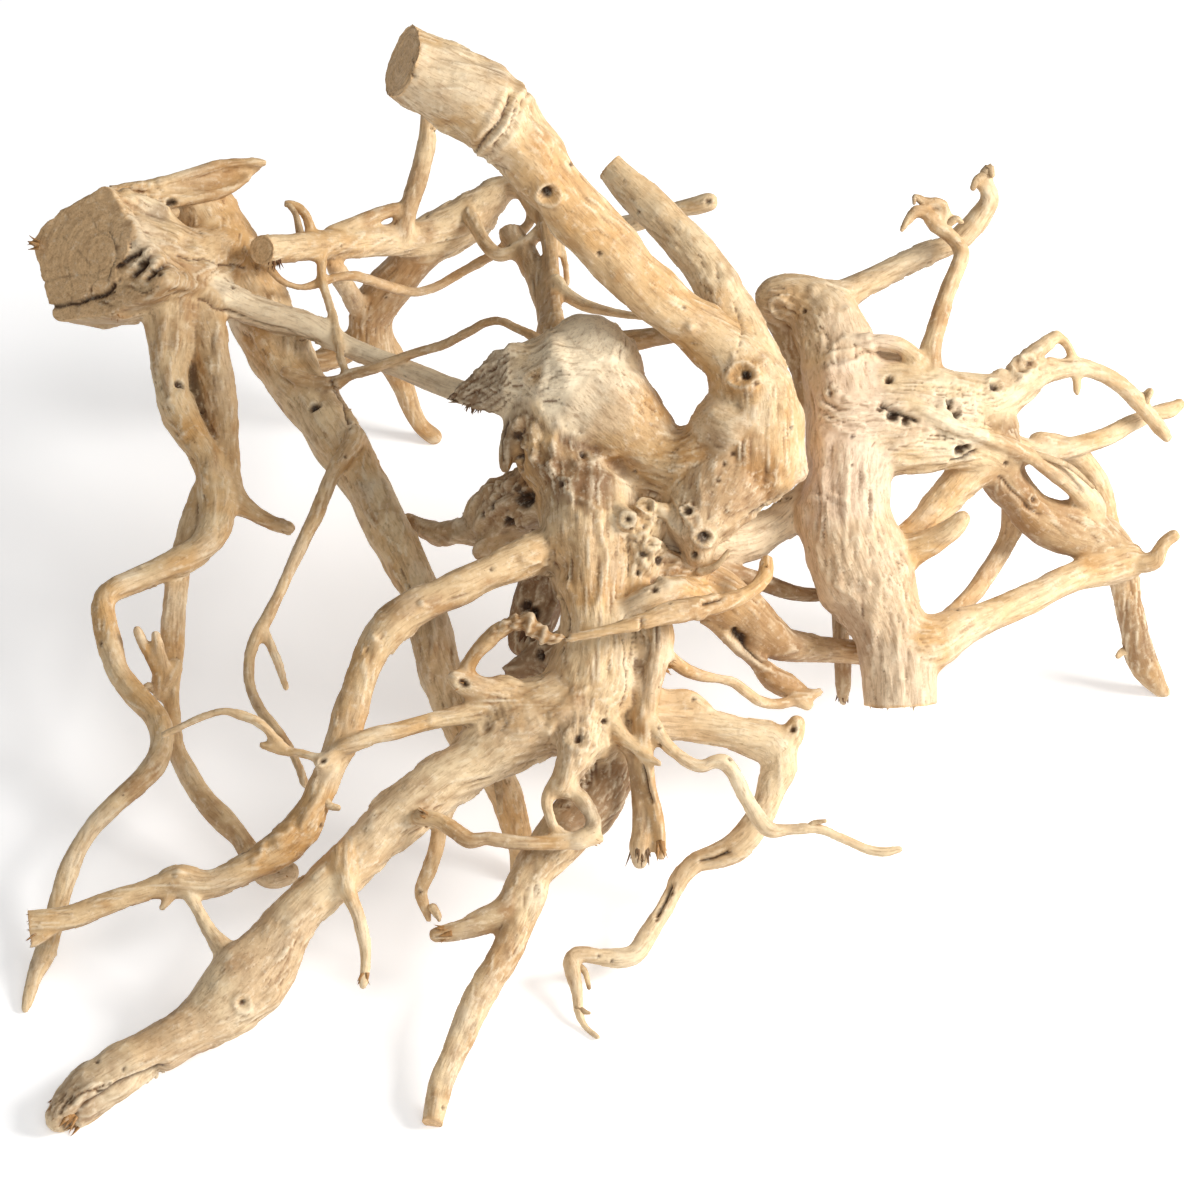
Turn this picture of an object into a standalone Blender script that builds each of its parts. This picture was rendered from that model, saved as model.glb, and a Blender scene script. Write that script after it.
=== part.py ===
"""A tangle of bleached, sand-worn driftwood, grown as one piece.

A heavy forked trunk with sawn ends passes into a knee, a root crown and a second, paler body, and from
these the limbs, legs and twigs spread down to the surface that the branch rests on.

The branch is set out on a sketch: the picture that a person has who looks down on it from the front at
VIEW_ELEVATION. Every limb is a line of stations set by hand, each of them (across, down, toward, radius):
its place across and down the sketch, how far it stands toward the viewer from the sketch's plane, and the
limb's radius there. All four are in sketch units of SKETCH_UNIT. Metres, +Z up, +X to the viewer's right.
"""

import math

import bmesh
import bpy
import numpy as np
from mathutils import Matrix, Vector

# Driving dimensions
SKETCH_UNIT = 0.0005
VIEW_ELEVATION = math.radians(40.0)
VIEW_DISTANCE = 2.5
SKETCH_CENTRE = (600.0, 600.0)
CENTRE_HEIGHT = 0.2005
ORIGIN = (0.0001, 0.1212)

# Mesh fineness
VOXEL = 0.0016
STATION_STEP = 0.5
MIN_RADIUS = 4.0
SMOOTH_ROUNDS = 6
TRIANGLE_SHARE = 0.0155
BEVEL_SIDES = 3

NODE = "driftwood_branch"

# The sawn butt at the left, with the legs and arms that leave it
LEFT_LIMBS = {
    "butt_body": ((112, 256, -500, 42), (140, 262, -520, 46), (180, 275, -540, 46), (212, 262, -572, 38)),
    "butt_web": ((126, 200, -508, 12), (150, 218, -526, 17), (176, 238, -545, 16), (196, 250, -560, 14)),
    "front_leg_left": (
        (176, 290, -520, 36), (171, 335, -500, 25), (169, 375, -475, 19), (176, 405, -456, 20),
        (191, 435, -440, 18), (209, 463, -426, 17), (215, 490, -412, 19), (217, 516, -398, 18),
        (203, 546, -382, 15), (171, 565, -370, 14), (141, 578, -362, 13), (116, 588, -352, 13),
        (105, 599, -345, 12), (104, 615, -338, 12), (109, 640, -325, 13), (118, 670, -312, 12),
        (137, 696, -298, 13), (156, 717, -285, 13), (162, 739, -273, 12), (157, 759, -262, 12),
        (143, 778, -250, 12), (121, 798, -240, 11), (103, 815, -230, 11), (88, 833, -220, 10),
        (76, 853, -210, 10), (68, 873, -200, 11), (62, 891, -190, 10), (56, 913, -178, 10),
        (50, 936, -166, 10), (44, 956, -154, 10), (35, 976, -142, 8), (29, 996, -128, 7),
        (25, 1009, -119, 5)),
    "leg_web": ((192, 335, -524, 14), (201, 385, -496, 13), (212, 435, -462, 11)),
    "second_leg_top": (
        (200, 310, -520, 26), (211, 352, -500, 19), (221, 395, -475, 16), (227, 440, -448, 13),
        (230, 478, -428, 12), (233, 497, -418, 14), (250, 511, -408, 10), (270, 522, -402, 8),
        (289, 528, -398, 7)),
    "second_leg_low": (
        (222, 470, -440, 13), (204, 492, -430, 13), (191, 520, -415, 12), (183, 550, -400, 12),
        (177, 585, -382, 12), (173, 620, -362, 13), (172, 650, -345, 13), (171, 690, -325, 10),
        (173, 720, -308, 9), (177, 750, -294, 9), (191, 778, -275, 11), (206, 801, -260, 11),
        (223, 820, -245, 12), (241, 838, -228, 11), (255, 861, -208, 13), (270, 875, -194, 15),
        (287, 873, -186, 14)),
    "horn_base": ((172, 668, -330, 12), (163, 682, -320, 14), (160, 694, -316, 8)),
    "horn_left": ((168, 685, -322, 10), (156, 665, -316, 8), (146, 648, -312, 6), (137, 630, -308, 5)),
    "horn_right": ((168, 685, -322, 9), (162, 660, -312, 7), (156, 635, -306, 5)),
    "long_leg": (
        (205, 215, -600, 36), (230, 260, -592, 35), (266, 323, -572, 33), (289, 371, -535, 29),
        (313, 403, -505, 28), (339, 441, -455, 27), (361, 478, -415, 25), (387, 526, -362, 24),
        (407, 564, -325, 22), (422, 597, -296, 21), (435, 650, -270, 22), (448, 688, -256, 22),
        (465, 730, -252, 20), (486, 760, -253, 19), (503, 788, -256, 17), (514, 820, -262, 16),
        (521, 848, -267, 12), (517, 872, -268, 7)),
    "hook_twig": (
        (356, 436, -415, 10), (350, 448, -400, 9), (338, 465, -385, 9), (330, 481, -374, 8),
        (322, 500, -358, 8), (316, 516, -345, 9), (307, 533, -330, 8), (299, 551, -316, 8),
        (290, 570, -300, 7), (279, 594, -280, 7), (267, 618, -262, 7), (257, 636, -249, 7),
        (250, 655, -237, 6), (249, 675, -227, 6), (252, 692, -219, 6), (262, 712, -208, 6),
        (275, 728, -198, 6), (289, 747, -187, 5), (298, 765, -178, 5), (305, 784, -168, 5)),
    "hook_twig_fork": ((262, 628, -255, 6), (272, 648, -248, 5), (280, 668, -244, 5), (286, 688, -240, 4)),
    "cross_arm": (
        (165, 280, -530, 24), (195, 287, -528, 22), (225, 299, -524, 18), (255, 311, -520, 15),
        (285, 319, -515, 15), (310, 327, -510, 15), (335, 341, -502, 13), (362, 353, -490, 12),
        (395, 366, -470, 11), (425, 378, -448, 11), (455, 390, -420, 11), (490, 400, -380, 12),
        (525, 405, -335, 16), (554, 405, -298, 20), (584, 404, -262, 24)),
    "fin_top": ((112, 190, -522, 5), (135, 186, -530, 5), (160, 182, -538, 5), (190, 173, -548, 5),
                (220, 164, -559, 5), (250, 162, -569, 5), (264, 163, -574, 4)),
    "fin_under": ((165, 204, -541, 6), (200, 196, -553, 6), (228, 190, -563, 5), (248, 178, -570, 4)),
    "butt_spur": ((185, 262, -545, 14), (215, 258, -560, 11), (250, 250, -575, 10)),
}

# The limbs at the back left, whose foot stands furthest from the viewer
BACK_LIMBS = {
    "cut_limb": (
        (255, 250, -492, 15), (262, 250, -500, 15), (290, 248, -535, 15), (320, 246, -570, 16),
        (350, 243, -605, 16), (380, 240, -638, 16), (403, 240, -660, 17), (425, 239, -678, 21),
        (446, 232, -690, 24), (471, 217, -697, 23), (490, 201, -697, 18), (508, 188, -692, 12),
        (528, 192, -675, 12), (542, 212, -650, 12)),
    "back_leg": (
        (425, 245, -690, 22), (405, 272, -705, 21), (385, 295, -725, 23), (371, 317, -745, 24),
        (376, 340, -765, 21), (390, 360, -785, 17), (403, 385, -805, 12), (411, 408, -822, 10),
        (421, 426, -835, 9), (434, 436, -840, 9)),
    "back_web": ((333, 262, -592, 9), (345, 286, -655, 10), (358, 306, -720, 12)),
    "back_knob": ((368, 332, -755, 16), (336, 355, -750, 14), (306, 366, -745, 11)),
    "back_riser": (
        (401, 236, -650, 14), (406, 215, -645, 11), (414, 192, -640, 10), (421, 168, -630, 10),
        (427, 140, -620, 10), (430, 112, -610, 10), (432, 96, -600, 9)),
    "back_bar": ((590, 350, -300, 16), (630, 341, -318, 12), (655, 337, -310, 11), (690, 332, -290, 8)),
    "back_ridge": ((332, 234, -590, 9), (360, 222, -610, 8), (380, 214, -628, 7), (398, 209, -640, 7),
                   (409, 214, -648, 6)),
    "back_fork": ((312, 234, -562, 6), (306, 216, -560, 5), (298, 207, -560, 5), (287, 203, -558, 4)),
    "wavy_twig": (
        (268, 266, -512, 5), (282, 281, -525, 4), (300, 287, -538, 4), (317, 284, -550, 5),
        (335, 278, -562, 5), (355, 276, -580, 6), (378, 283, -605, 6), (400, 290, -632, 6),
        (418, 292, -645, 5), (440, 285, -652, 5), (460, 273, -655, 5), (480, 262, -655, 5),
        (500, 250, -655, 5), (519, 235, -655, 5), (531, 217, -660, 5), (524, 202, -668, 4),
        (514, 188, -680, 4)),
    "back_hook": (
        (470, 215, -672, 8), (480, 234, -648, 7), (489, 248, -632, 7), (501, 255, -624, 7),
        (520, 248, -620, 7), (535, 236, -622, 7), (546, 222, -630, 7)),
    "hanging_twig": (
        (322, 260, -556, 6), (322, 280, -545, 5), (328, 300, -530, 5), (334, 320, -510, 5),
        (338, 340, -484, 5), (341, 358, -475, 5), (346, 373, -470, 4)),
    "knobby_twig": (
        (286, 372, -485, 7), (300, 378, -482, 8), (318, 382, -478, 7), (338, 381, -472, 7),
        (352, 374, -466, 6), (375, 368, -458, 6), (400, 358, -450, 5), (425, 350, -438, 5),
        (445, 344, -425, 5), (470, 331, -402, 5), (485, 323, -388, 5), (500, 321, -372, 5),
        (516, 328, -355, 5), (532, 336, -335, 6), (550, 350, -310, 8)),
    "back_strut_right": (
        (544, 214, -640, 10), (549, 240, -605, 9), (552, 270, -555, 8), (554, 300, -502, 8),
        (558, 326, -450, 9), (566, 350, -390, 14), (572, 365, -340, 20)),
    "back_strut_left": (
        (512, 236, -650, 13), (525, 255, -620, 13), (540, 283, -565, 13), (548, 312, -505, 13),
        (555, 340, -440, 16), (562, 362, -380, 22)),
    "strut_twig": (
        (556, 282, -525, 9), (566, 294, -508, 8), (582, 304, -490, 7), (602, 310, -468, 6),
        (622, 314, -448, 5), (642, 317, -430, 4)),
    "strut_splinter": ((558, 232, -612, 5), (563, 252, -596, 4), (566, 270, -584, 4), (567, 283, -578, 4)),
    "knob_limb": (
        (545, 222, -645, 10), (585, 230, -620, 10), (625, 225, -600, 10), (655, 216, -585, 9),
        (680, 209, -575, 9), (698, 205, -568, 10), (709, 202, -562, 10)),
}

# The forked trunk, the knee below it, the stem and the root crown
TRUNK_LIMBS = {
    "trunk": (
        (391, 57, -85, 36), (403, 63, -87, 36), (425, 75, -92, 37), (450, 88, -96, 39),
        (480, 103, -101, 43), (499, 120, -106, 41), (512, 138, -111, 37), (527, 153, -117, 34),
        (541, 173, -126, 31), (562, 197, -138, 31), (582, 220, -149, 30), (601, 239, -158, 29),
        (621, 261, -168, 28), (641, 283, -178, 28), (660, 301, -187, 27), (682, 316, -196, 26),
        (706, 334, -203, 29), (732, 356, -209, 33), (750, 386, -214, 42), (756, 420, -218, 51),
        (752, 450, -218, 56)),
    "trunk_fork": (
        (604, 162, -333, 15), (610, 168, -330, 15), (632, 190, -316, 18), (654, 211, -303, 20),
        (676, 234, -288, 20), (696, 257, -270, 21), (712, 277, -257, 23), (724, 298, -246, 25),
        (737, 324, -235, 27), (748, 352, -226, 31), (752, 380, -222, 36)),
    "heel_corner": ((740, 440, -220, 56), (775, 455, -215, 37), (797, 470, -212, 16)),
    "heel_tip": ((732, 470, -215, 50), (707, 503, -200, 40), (698, 530, -190, 29), (700, 552, -185, 15)),
    "knee_arm": (
        (585, 400, -247, 64), (622, 436, -240, 51), (658, 464, -232, 40), (698, 471, -225, 47),
        (745, 450, -220, 54)),
    "knee": ((520, 386, -252, 36), (545, 386, -252, 57), (573, 390, -252, 67), (594, 362, -252, 49)),
    "knee_torn": ((478, 394, -268, 12), (500, 388, -262, 22), (520, 386, -255, 32)),
    "knee_curtain": ((520, 410, -235, 16), (509, 442, -230, 11), (505, 468, -226, 6)),
    "stem": (
        (556, 425, -244, 54), (566, 458, -234, 47), (576, 480, -227, 45), (585, 505, -218, 50),
        (588, 540, -205, 49), (593, 575, -192, 41), (594, 605, -180, 38), (597, 640, -166, 42),
        (592, 680, -155, 48), (582, 712, -145, 47), (585, 735, -135, 34)),
    "crown": ((592, 700, -150, 46), (550, 713, -140, 41), (520, 722, -135, 40)),
}

# The limbs that leave the crown to the left and to the front
CROWN_LIMBS = {
    "great_limb": (
        (530, 722, -136, 41), (496, 745, -130, 34), (470, 765, -126, 28), (440, 783, -121, 28),
        (415, 803, -116, 28), (390, 823, -110, 28), (370, 845, -104, 26), (350, 865, -99, 25),
        (327, 886, -93, 24), (303, 908, -87, 24), (281, 933, -80, 27), (264, 959, -72, 33),
        (247, 981, -62, 40), (226, 1002, -50, 36), (202, 1023, -38, 28), (180, 1037, -29, 25),
        (155, 1052, -20, 25), (128, 1067, -10, 26), (104, 1082, 2, 27), (84, 1097, 9, 27),
        (69, 1110, 14, 24), (60, 1118, 16, 18)),
    "left_arm": (
        (560, 545, -205, 26), (540, 552, -190, 22), (520, 560, -177, 20), (490, 573, -162, 18),
        (460, 587, -150, 19), (430, 602, -140, 18), (405, 617, -132, 20), (382, 637, -126, 20),
        (368, 660, -122, 17), (360, 682, -118, 16), (353, 703, -115, 17), (346, 727, -112, 17),
        (340, 748, -110, 17), (331, 768, -108, 16), (322, 786, -107, 16), (314, 806, -105, 16),
        (302, 826, -104, 18), (287, 843, -102, 18), (268, 857, -100, 17), (248, 867, -98, 16),
        (225, 879, -96, 15), (205, 885, -94, 15), (180, 881, -92, 17), (160, 886, -89, 13),
        (140, 892, -85, 11), (118, 899, -81, 12), (100, 906, -78, 12), (80, 914, -74, 12),
        (60, 920, -70, 12), (42, 922, -67, 13), (24, 923, -65, 13)),
    "left_arm_prong": ((56, 924, -68, 9), (43, 935, -65, 7), (31, 943, -62, 6)),
    "left_arm_spur": ((180, 884, -90, 7), (170, 898, -86, 5), (162, 908, -84, 4)),
    "bridge": ((184, 886, -89, 8), (195, 905, -84, 7), (206, 925, -78, 8), (216, 940, -72, 10),
               (228, 955, -66, 14)),
    "thin_arm": (
        (500, 700, -128, 20), (470, 712, -117, 13), (445, 718, -110, 10), (420, 724, -104, 9),
        (395, 731, -99, 9), (375, 735, -96, 9), (357, 742, -94, 10), (342, 747, -94, 9)),
    "thin_arm_cup": ((338, 750, -95, 8), (328, 758, -92, 7), (321, 763, -92, 8)),
    "thin_arm_twig": (
        (330, 757, -91, 5), (315, 757, -97, 5), (300, 753, -104, 5), (282, 751, -110, 5),
        (262, 745, -114, 4)),
    "thin_arm_fork": (
        (287, 750, -110, 5), (266, 729, -112, 5), (255, 720, -114, 5), (240, 715, -117, 5),
        (225, 711, -120, 4), (208, 715, -124, 4), (195, 720, -127, 4), (175, 730, -132, 4),
        (163, 735, -134, 4)),
    "bow_twig": (
        (474, 684, -116, 12), (466, 672, -112, 9), (474, 656, -104, 8), (488, 641, -97, 9),
        (504, 627, -92, 9), (522, 622, -88, 9), (536, 631, -86, 7), (552, 638, -84, 6),
        (575, 637, -83, 5), (600, 632, -83, 6), (622, 627, -84, 7), (642, 622, -88, 9),
        (665, 614, -96, 11), (690, 609, -108, 12), (712, 604, -122, 11), (732, 600, -138, 9),
        (748, 593, -152, 8), (759, 584, -162, 8), (766, 573, -170, 9), (767, 562, -175, 8)),
    "hollow_stub": ((505, 697, -128, 24), (480, 690, -114, 15), (463, 684, -106, 11), (455, 678, -104, 9)),
    "drop_twig": (
        (450, 795, -132, 12), (441, 825, -128, 9), (436, 850, -122, 8), (428, 873, -118, 8),
        (421, 892, -115, 7), (425, 907, -112, 6), (429, 920, -110, 4)),
    "limb_twig": (
        (344, 858, -84, 16), (345, 880, -74, 11), (351, 898, -70, 8), (358, 915, -67, 7),
        (364, 940, -64, 7), (366, 960, -62, 6), (363, 985, -60, 5)),
    "ragged_twig": (
        (420, 817, -82, 9), (438, 820, -78, 8), (455, 831, -73, 9), (470, 841, -70, 8),
        (485, 838, -69, 7), (500, 840, -69, 8), (520, 843, -70, 8), (540, 843, -73, 8),
        (564, 842, -78, 9)),
    "ring_root": ((580, 730, -118, 30), (577, 752, -98, 21), (570, 770, -90, 18), (563, 787, -86, 16)),
    "ring_left": ((556, 784, -84, 10), (547, 800, -82, 7), (549, 815, -80, 6), (556, 830, -79, 6),
                  (570, 841, -79, 9)),
    "ring_right": ((566, 786, -86, 12), (581, 799, -84, 9), (591, 814, -82, 8), (594, 829, -80, 9),
                   (582, 839, -79, 11), (568, 841, -79, 9)),
    "ring_tip": ((584, 838, -79, 11), (600, 839, -79, 5)),
    "shaded_limb": (
        (605, 735, -170, 34), (606, 765, -168, 31), (597, 790, -157, 32), (582, 815, -143, 30),
        (558, 839, -128, 26), (540, 862, -117, 24), (524, 885, -107, 21), (508, 908, -98, 17),
        (488, 919, -92, 15), (468, 927, -87, 12), (450, 932, -84, 10), (436, 935, -82, 8)),
    "front_leg": (
        (530, 888, -108, 21), (523, 915, -98, 17), (511, 942, -85, 16), (500, 962, -74, 16),
        (486, 985, -60, 16), (475, 1003, -49, 15), (462, 1035, -30, 14), (451, 1060, -16, 13),
        (442, 1080, -4, 14), (437, 1100, 4, 13), (433, 1122, 10, 12), (432, 1130, 12, 11)),
    "column": (
        (645, 600, -165, 18), (655, 620, -157, 18), (657, 640, -150, 18), (652, 670, -138, 15),
        (646, 700, -128, 14), (645, 740, -117, 11), (647, 770, -112, 9), (651, 792, -111, 8),
        (656, 812, -110, 8), (660, 833, -110, 7), (661, 855, -110, 6)),
    "column_lump": ((658, 648, -146, 14), (668, 656, -142, 8)),
    "torn_stalk": (
        (622, 735, -130, 12), (632, 757, -122, 7), (636, 785, -120, 6), (640, 808, -118, 9),
        (642, 830, -117, 11), (640, 848, -116, 12), (640, 862, -115, 8)),
    "crown_splinter": ((606, 722, -122, 14), (628, 742, -110, 7), (645, 755, -104, 5), (660, 764, -100, 4)),
}

# The limbs that leave the crown to the right and the low ones behind it
LOW_LIMBS = {
    "bent_arm": (
        (620, 715, -155, 26), (645, 720, -156, 20), (670, 722, -157, 18), (700, 725, -159, 18),
        (730, 731, -161, 19), (755, 738, -164, 21), (775, 745, -167, 23), (780, 765, -169, 21),
        (772, 785, -171, 16), (766, 805, -173, 14), (752, 830, -175, 14), (735, 848, -176, 14),
        (715, 857, -176, 12), (697, 862, -174, 10), (684, 873, -171, 10), (674, 889, -167, 10),
        (667, 905, -163, 10), (657, 921, -157, 10), (646, 938, -148, 11), (635, 954, -140, 11),
        (618, 958, -136, 11), (600, 957, -133, 9), (583, 954, -130, 9), (572, 957, -128, 9),
        (573, 972, -122, 8), (577, 992, -113, 6), (579, 1012, -103, 5), (585, 1026, -98, 4),
        (597, 1037, -88, 4)),
    "bent_arm_knob": ((780, 750, -167, 18), (792, 734, -163, 13), (797, 723, -162, 9)),
    "bent_arm_lobe": (
        (640, 692, -150, 14), (665, 699, -152, 10), (685, 698, -154, 11), (700, 706, -156, 9),
        (714, 718, -158, 8)),
    "wander_twig": (
        (648, 722, -122, 12), (664, 742, -112, 8), (676, 753, -109, 7), (688, 762, -107, 7),
        (702, 767, -106, 7), (713, 762, -106, 7), (724, 762, -107, 9), (733, 772, -110, 8),
        (741, 788, -113, 8), (750, 805, -115, 8), (759, 819, -117, 8), (770, 830, -118, 8),
        (785, 830, -120, 6), (800, 829, -121, 6), (818, 829, -123, 5), (835, 835, -125, 5),
        (855, 844, -127, 5), (870, 850, -128, 5), (886, 852, -129, 5), (900, 849, -130, 4)),
    "side_twig": (
        (655, 648, -150, 14), (673, 661, -163, 8), (686, 670, -176, 7), (702, 676, -190, 6),
        (720, 679, -203, 5), (735, 683, -214, 6), (748, 693, -225, 6), (762, 702, -236, 6),
        (778, 704, -245, 6), (792, 701, -251, 6), (806, 696, -255, 7), (820, 692, -257, 4)),
    "side_twig_prong": ((796, 699, -251, 7), (808, 705, -254, 6)),
    "low_arm": (
        (610, 545, -205, 26), (640, 562, -196, 18), (662, 570, -197, 16), (684, 577, -205, 22),
        (705, 588, -217, 26), (730, 603, -232, 27), (755, 625, -252, 24), (780, 642, -272, 20),
        (805, 647, -290, 16), (835, 650, -306, 13), (862, 652, -314, 12), (888, 655, -300, 14)),
    "low_arm_under": (
        (705, 606, -222, 14), (720, 620, -230, 11), (735, 639, -238, 9), (755, 659, -248, 9),
        (773, 679, -258, 13), (789, 686, -264, 13), (803, 693, -264, 8)),
    "shadow_limb": (
        (680, 570, -222, 12), (700, 570, -236, 10), (720, 571, -248, 9), (740, 575, -260, 9),
        (765, 583, -275, 9), (790, 592, -290, 9), (815, 595, -303, 8), (832, 590, -306, 10),
        (845, 578, -290, 14)),
    "torn_leg": (
        (832, 588, -310, 10), (838, 602, -322, 9), (840, 625, -332, 9), (842, 650, -338, 9),
        (843, 670, -343, 9), (843, 688, -347, 8), (843, 702, -350, 4)),
    "heel_arm": (
        (650, 528, -225, 22), (690, 530, -218, 24), (702, 540, -235, 20), (720, 544, -255, 20),
        (745, 542, -270, 20),
        (768, 531, -282, 19), (788, 516, -290, 19), (812, 500, -290, 22)),
    "pale_arm": (
        (620, 612, -165, 14), (640, 603, -148, 13), (660, 594, -146, 14), (676, 589, -154, 13),
        (690, 592, -172, 13), (705, 598, -200, 16)),
    "burl_right": ((618, 530, -198, 26), (642, 534, -192, 21), (650, 512, -190, 15)),
    "burl_right_low": ((640, 535, -190, 20), (642, 560, -186, 18), (628, 590, -178, 14)),
    "ring_knob": ((610, 515, -190, 16), (628, 520, -166, 11)),
    "pale_horn": ((684, 580, -192, 9), (700, 575, -186, 6), (716, 566, -180, 4), (727, 554, -174, 4)),
    "heel_knob": ((676, 512, -190, 12), (662, 510, -182, 8)),
    "burl_left": (
        (560, 490, -255, 34), (530, 500, -278, 34), (505, 512, -305, 32), (486, 528, -325, 22),
        (462, 532, -345, 12), (440, 534, -365, 11), (424, 529, -380, 10), (408, 518, -395, 6)),
    "burl_left_crest": ((515, 507, -295, 22), (494, 502, -308, 14), (478, 508, -318, 12)),
    "burl_left_lip": ((508, 540, -295, 16), (480, 553, -302, 8)),
    "hollow_back": ((560, 560, -230, 32), (543, 585, -245, 26), (534, 612, -243, 25), (526, 640, -236, 20)),
    "hollow_back_low": ((565, 655, -190, 26), (538, 660, -208, 18), (512, 672, -203, 9)),
}

# The paler body at the right, with its arms, leg and splinters
RIGHT_LIMBS = {
    "pale_head": (
        (776, 300, -335, 23), (800, 300, -330, 26), (822, 318, -320, 32), (838, 345, -305, 35),
        (845, 375, -292, 39)),
    "pale_body": (
        (846, 385, -290, 42), (852, 410, -284, 49), (852, 445, -278, 49), (848, 480, -274, 43),
        (841, 508, -270, 48), (851, 545, -268, 50), (868, 585, -266, 49), (886, 620, -264, 38),
        (898, 655, -262, 37), (902, 690, -260, 36), (904, 715, -260, 36)),
    "pale_shoulder": ((858, 396, -288, 40), (895, 395, -280, 30), (938, 398, -283, 26), (965, 402, -290, 26)),
    "shoulder_top": ((850, 368, -302, 30), (880, 372, -300, 22), (910, 377, -297, 19), (945, 390, -292, 16)),
    "shoulder_web": ((856, 425, -274, 48), (888, 422, -268, 37), (925, 418, -272, 29), (960, 418, -282, 24)),
    "under_arm": (
        (875, 440, -276, 38), (912, 446, -272, 28), (955, 442, -278, 25), (985, 449, -292, 22),
        (1005, 460, -308, 19)),
    "upper_arm": (
        (820, 305, -325, 24), (850, 291, -335, 14), (880, 276, -341, 12), (910, 261, -345, 13),
        (935, 250, -346, 12), (955, 242, -346, 12), (972, 227, -344, 12), (983, 212, -342, 11),
        (990, 200, -340, 10), (988, 187, -338, 8), (985, 172, -336, 6)),
    "upper_arm_tip": ((988, 190, -338, 8), (978, 183, -335, 5)),
    "antler_arm": (
        (926, 385, -284, 18), (929, 358, -284, 12), (933, 338, -288, 10), (939, 318, -293, 10),
        (945, 300, -298, 9), (952, 281, -304, 9), (959, 264, -310, 9), (962, 252, -315, 9),
        (954, 240, -317, 8), (944, 231, -318, 8), (936, 225, -318, 9)),
    "antler_low": ((936, 224, -318, 8), (925, 213, -316, 7), (914, 212, -314, 6), (908, 221, -313, 5),
                   (903, 228, -312, 4)),
    "antler_high": ((940, 222, -320, 8), (944, 210, -322, 7), (940, 203, -322, 6), (928, 201, -320, 5),
                    (915, 196, -318, 4)),
    "antler_stub": ((944, 222, -320, 6), (955, 218, -322, 4)),
    "handle": (
        (834, 352, -290, 14), (850, 344, -276, 9), (865, 343, -270, 8), (882, 342, -268, 8),
        (898, 345, -268, 8), (910, 353, -272, 9), (918, 368, -280, 14)),
    "knotty_arm": (
        (940, 397, -284, 26), (965, 402, -290, 26), (992, 400, -300, 24), (1015, 388, -310, 19),
        (1038, 374, -320, 14), (1060, 369, -328, 10), (1080, 367, -336, 10), (1100, 373, -342, 9),
        (1121, 385, -347, 9), (1136, 400, -350, 9), (1149, 415, -352, 8), (1159, 427, -353, 8),
        (1167, 437, -354, 6)),
    "knot_low": ((1005, 388, -304, 14), (1001, 376, -300, 8)),
    "knot_high": ((1020, 376, -312, 14), (1032, 356, -314, 10), (1046, 344, -318, 8), (1057, 335, -322, 6)),
    "knot_frame": ((1056, 335, -322, 6), (1066, 343, -325, 5), (1074, 360, -332, 5)),
    "knotty_nub": ((1077, 372, -336, 5), (1077, 392, -334, 4)),
    "knotty_bud": ((1140, 406, -351, 6), (1150, 392, -356, 5)),
    "long_arm": (
        (1000, 447, -318, 17), (1040, 454, -335, 11), (1070, 448, -348, 10), (1100, 439, -360, 10),
        (1130, 424, -372, 9), (1150, 415, -380, 8), (1170, 410, -386, 9), (1180, 404, -388, 6)),
    "long_splinter": (
        (880, 402, -266, 12), (905, 404, -246, 8), (932, 416, -243, 8), (960, 428, -247, 7),
        (985, 436, -258, 7), (1008, 446, -278, 8), (1035, 459, -300, 9), (1058, 474, -322, 12),
        (1080, 492, -350, 13), (1092, 508, -374, 14)),
    "window_limb": (
        (990, 458, -308, 23), (965, 477, -304, 20), (948, 496, -298, 18), (932, 514, -292, 16),
        (912, 534, -284, 15), (890, 555, -276, 20)),
    "window_stub": (
        (890, 562, -272, 26), (912, 550, -262, 17), (930, 542, -256, 14), (946, 533, -250, 12),
        (958, 524, -246, 11), (963, 518, -245, 9)),
    "right_leg": (
        (996, 430, -306, 24), (1000, 472, -320, 22), (1018, 497, -334, 21), (1038, 515, -350, 23),
        (1065, 527, -370, 26), (1090, 536, -390, 25), (1110, 548, -408, 22), (1122, 570, -424, 18),
        (1126, 595, -438, 15), (1132, 622, -453, 15), (1138, 650, -469, 15), (1147, 670, -481, 14),
        (1157, 685, -494, 10), (1163, 692, -500, 8)),
    "low_right_arm": (
        (905, 648, -262, 34), (932, 643, -264, 28), (955, 630, -276, 22), (985, 618, -297, 17),
        (1015, 605, -320, 16), (1040, 594, -340, 15), (1060, 583, -356, 14), (1085, 573, -374, 15),
        (1108, 566, -388, 18), (1128, 561, -396, 18)),
    "curl": (
        (1126, 562, -392, 12), (1146, 563, -385, 10), (1156, 560, -383, 9), (1160, 550, -382, 8),
        (1166, 541, -381, 7), (1174, 536, -380, 7)),
    "ring_limb": (
        (1040, 445, -342, 14), (1070, 451, -365, 13), (1086, 466, -385, 13), (1098, 484, -403, 12),
        (1105, 503, -412, 11), (1108, 524, -412, 12), (1112, 545, -410, 16)),
    "far_strut": (
        (1014, 500, -362, 14), (1011, 530, -386, 12), (1003, 548, -388, 10), (988, 573, -376, 10),
        (973, 594, -360, 10), (958, 608, -340, 9), (942, 624, -305, 11)),
    "neck_twig": ((772, 312, -345, 13), (788, 343, -335, 11), (804, 372, -318, 12), (812, 400, -300, 16)),
}

LIMB_GROUPS = (LEFT_LIMBS, BACK_LIMBS, TRUNK_LIMBS, CROWN_LIMBS, LOW_LIMBS, RIGHT_LIMBS)

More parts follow.
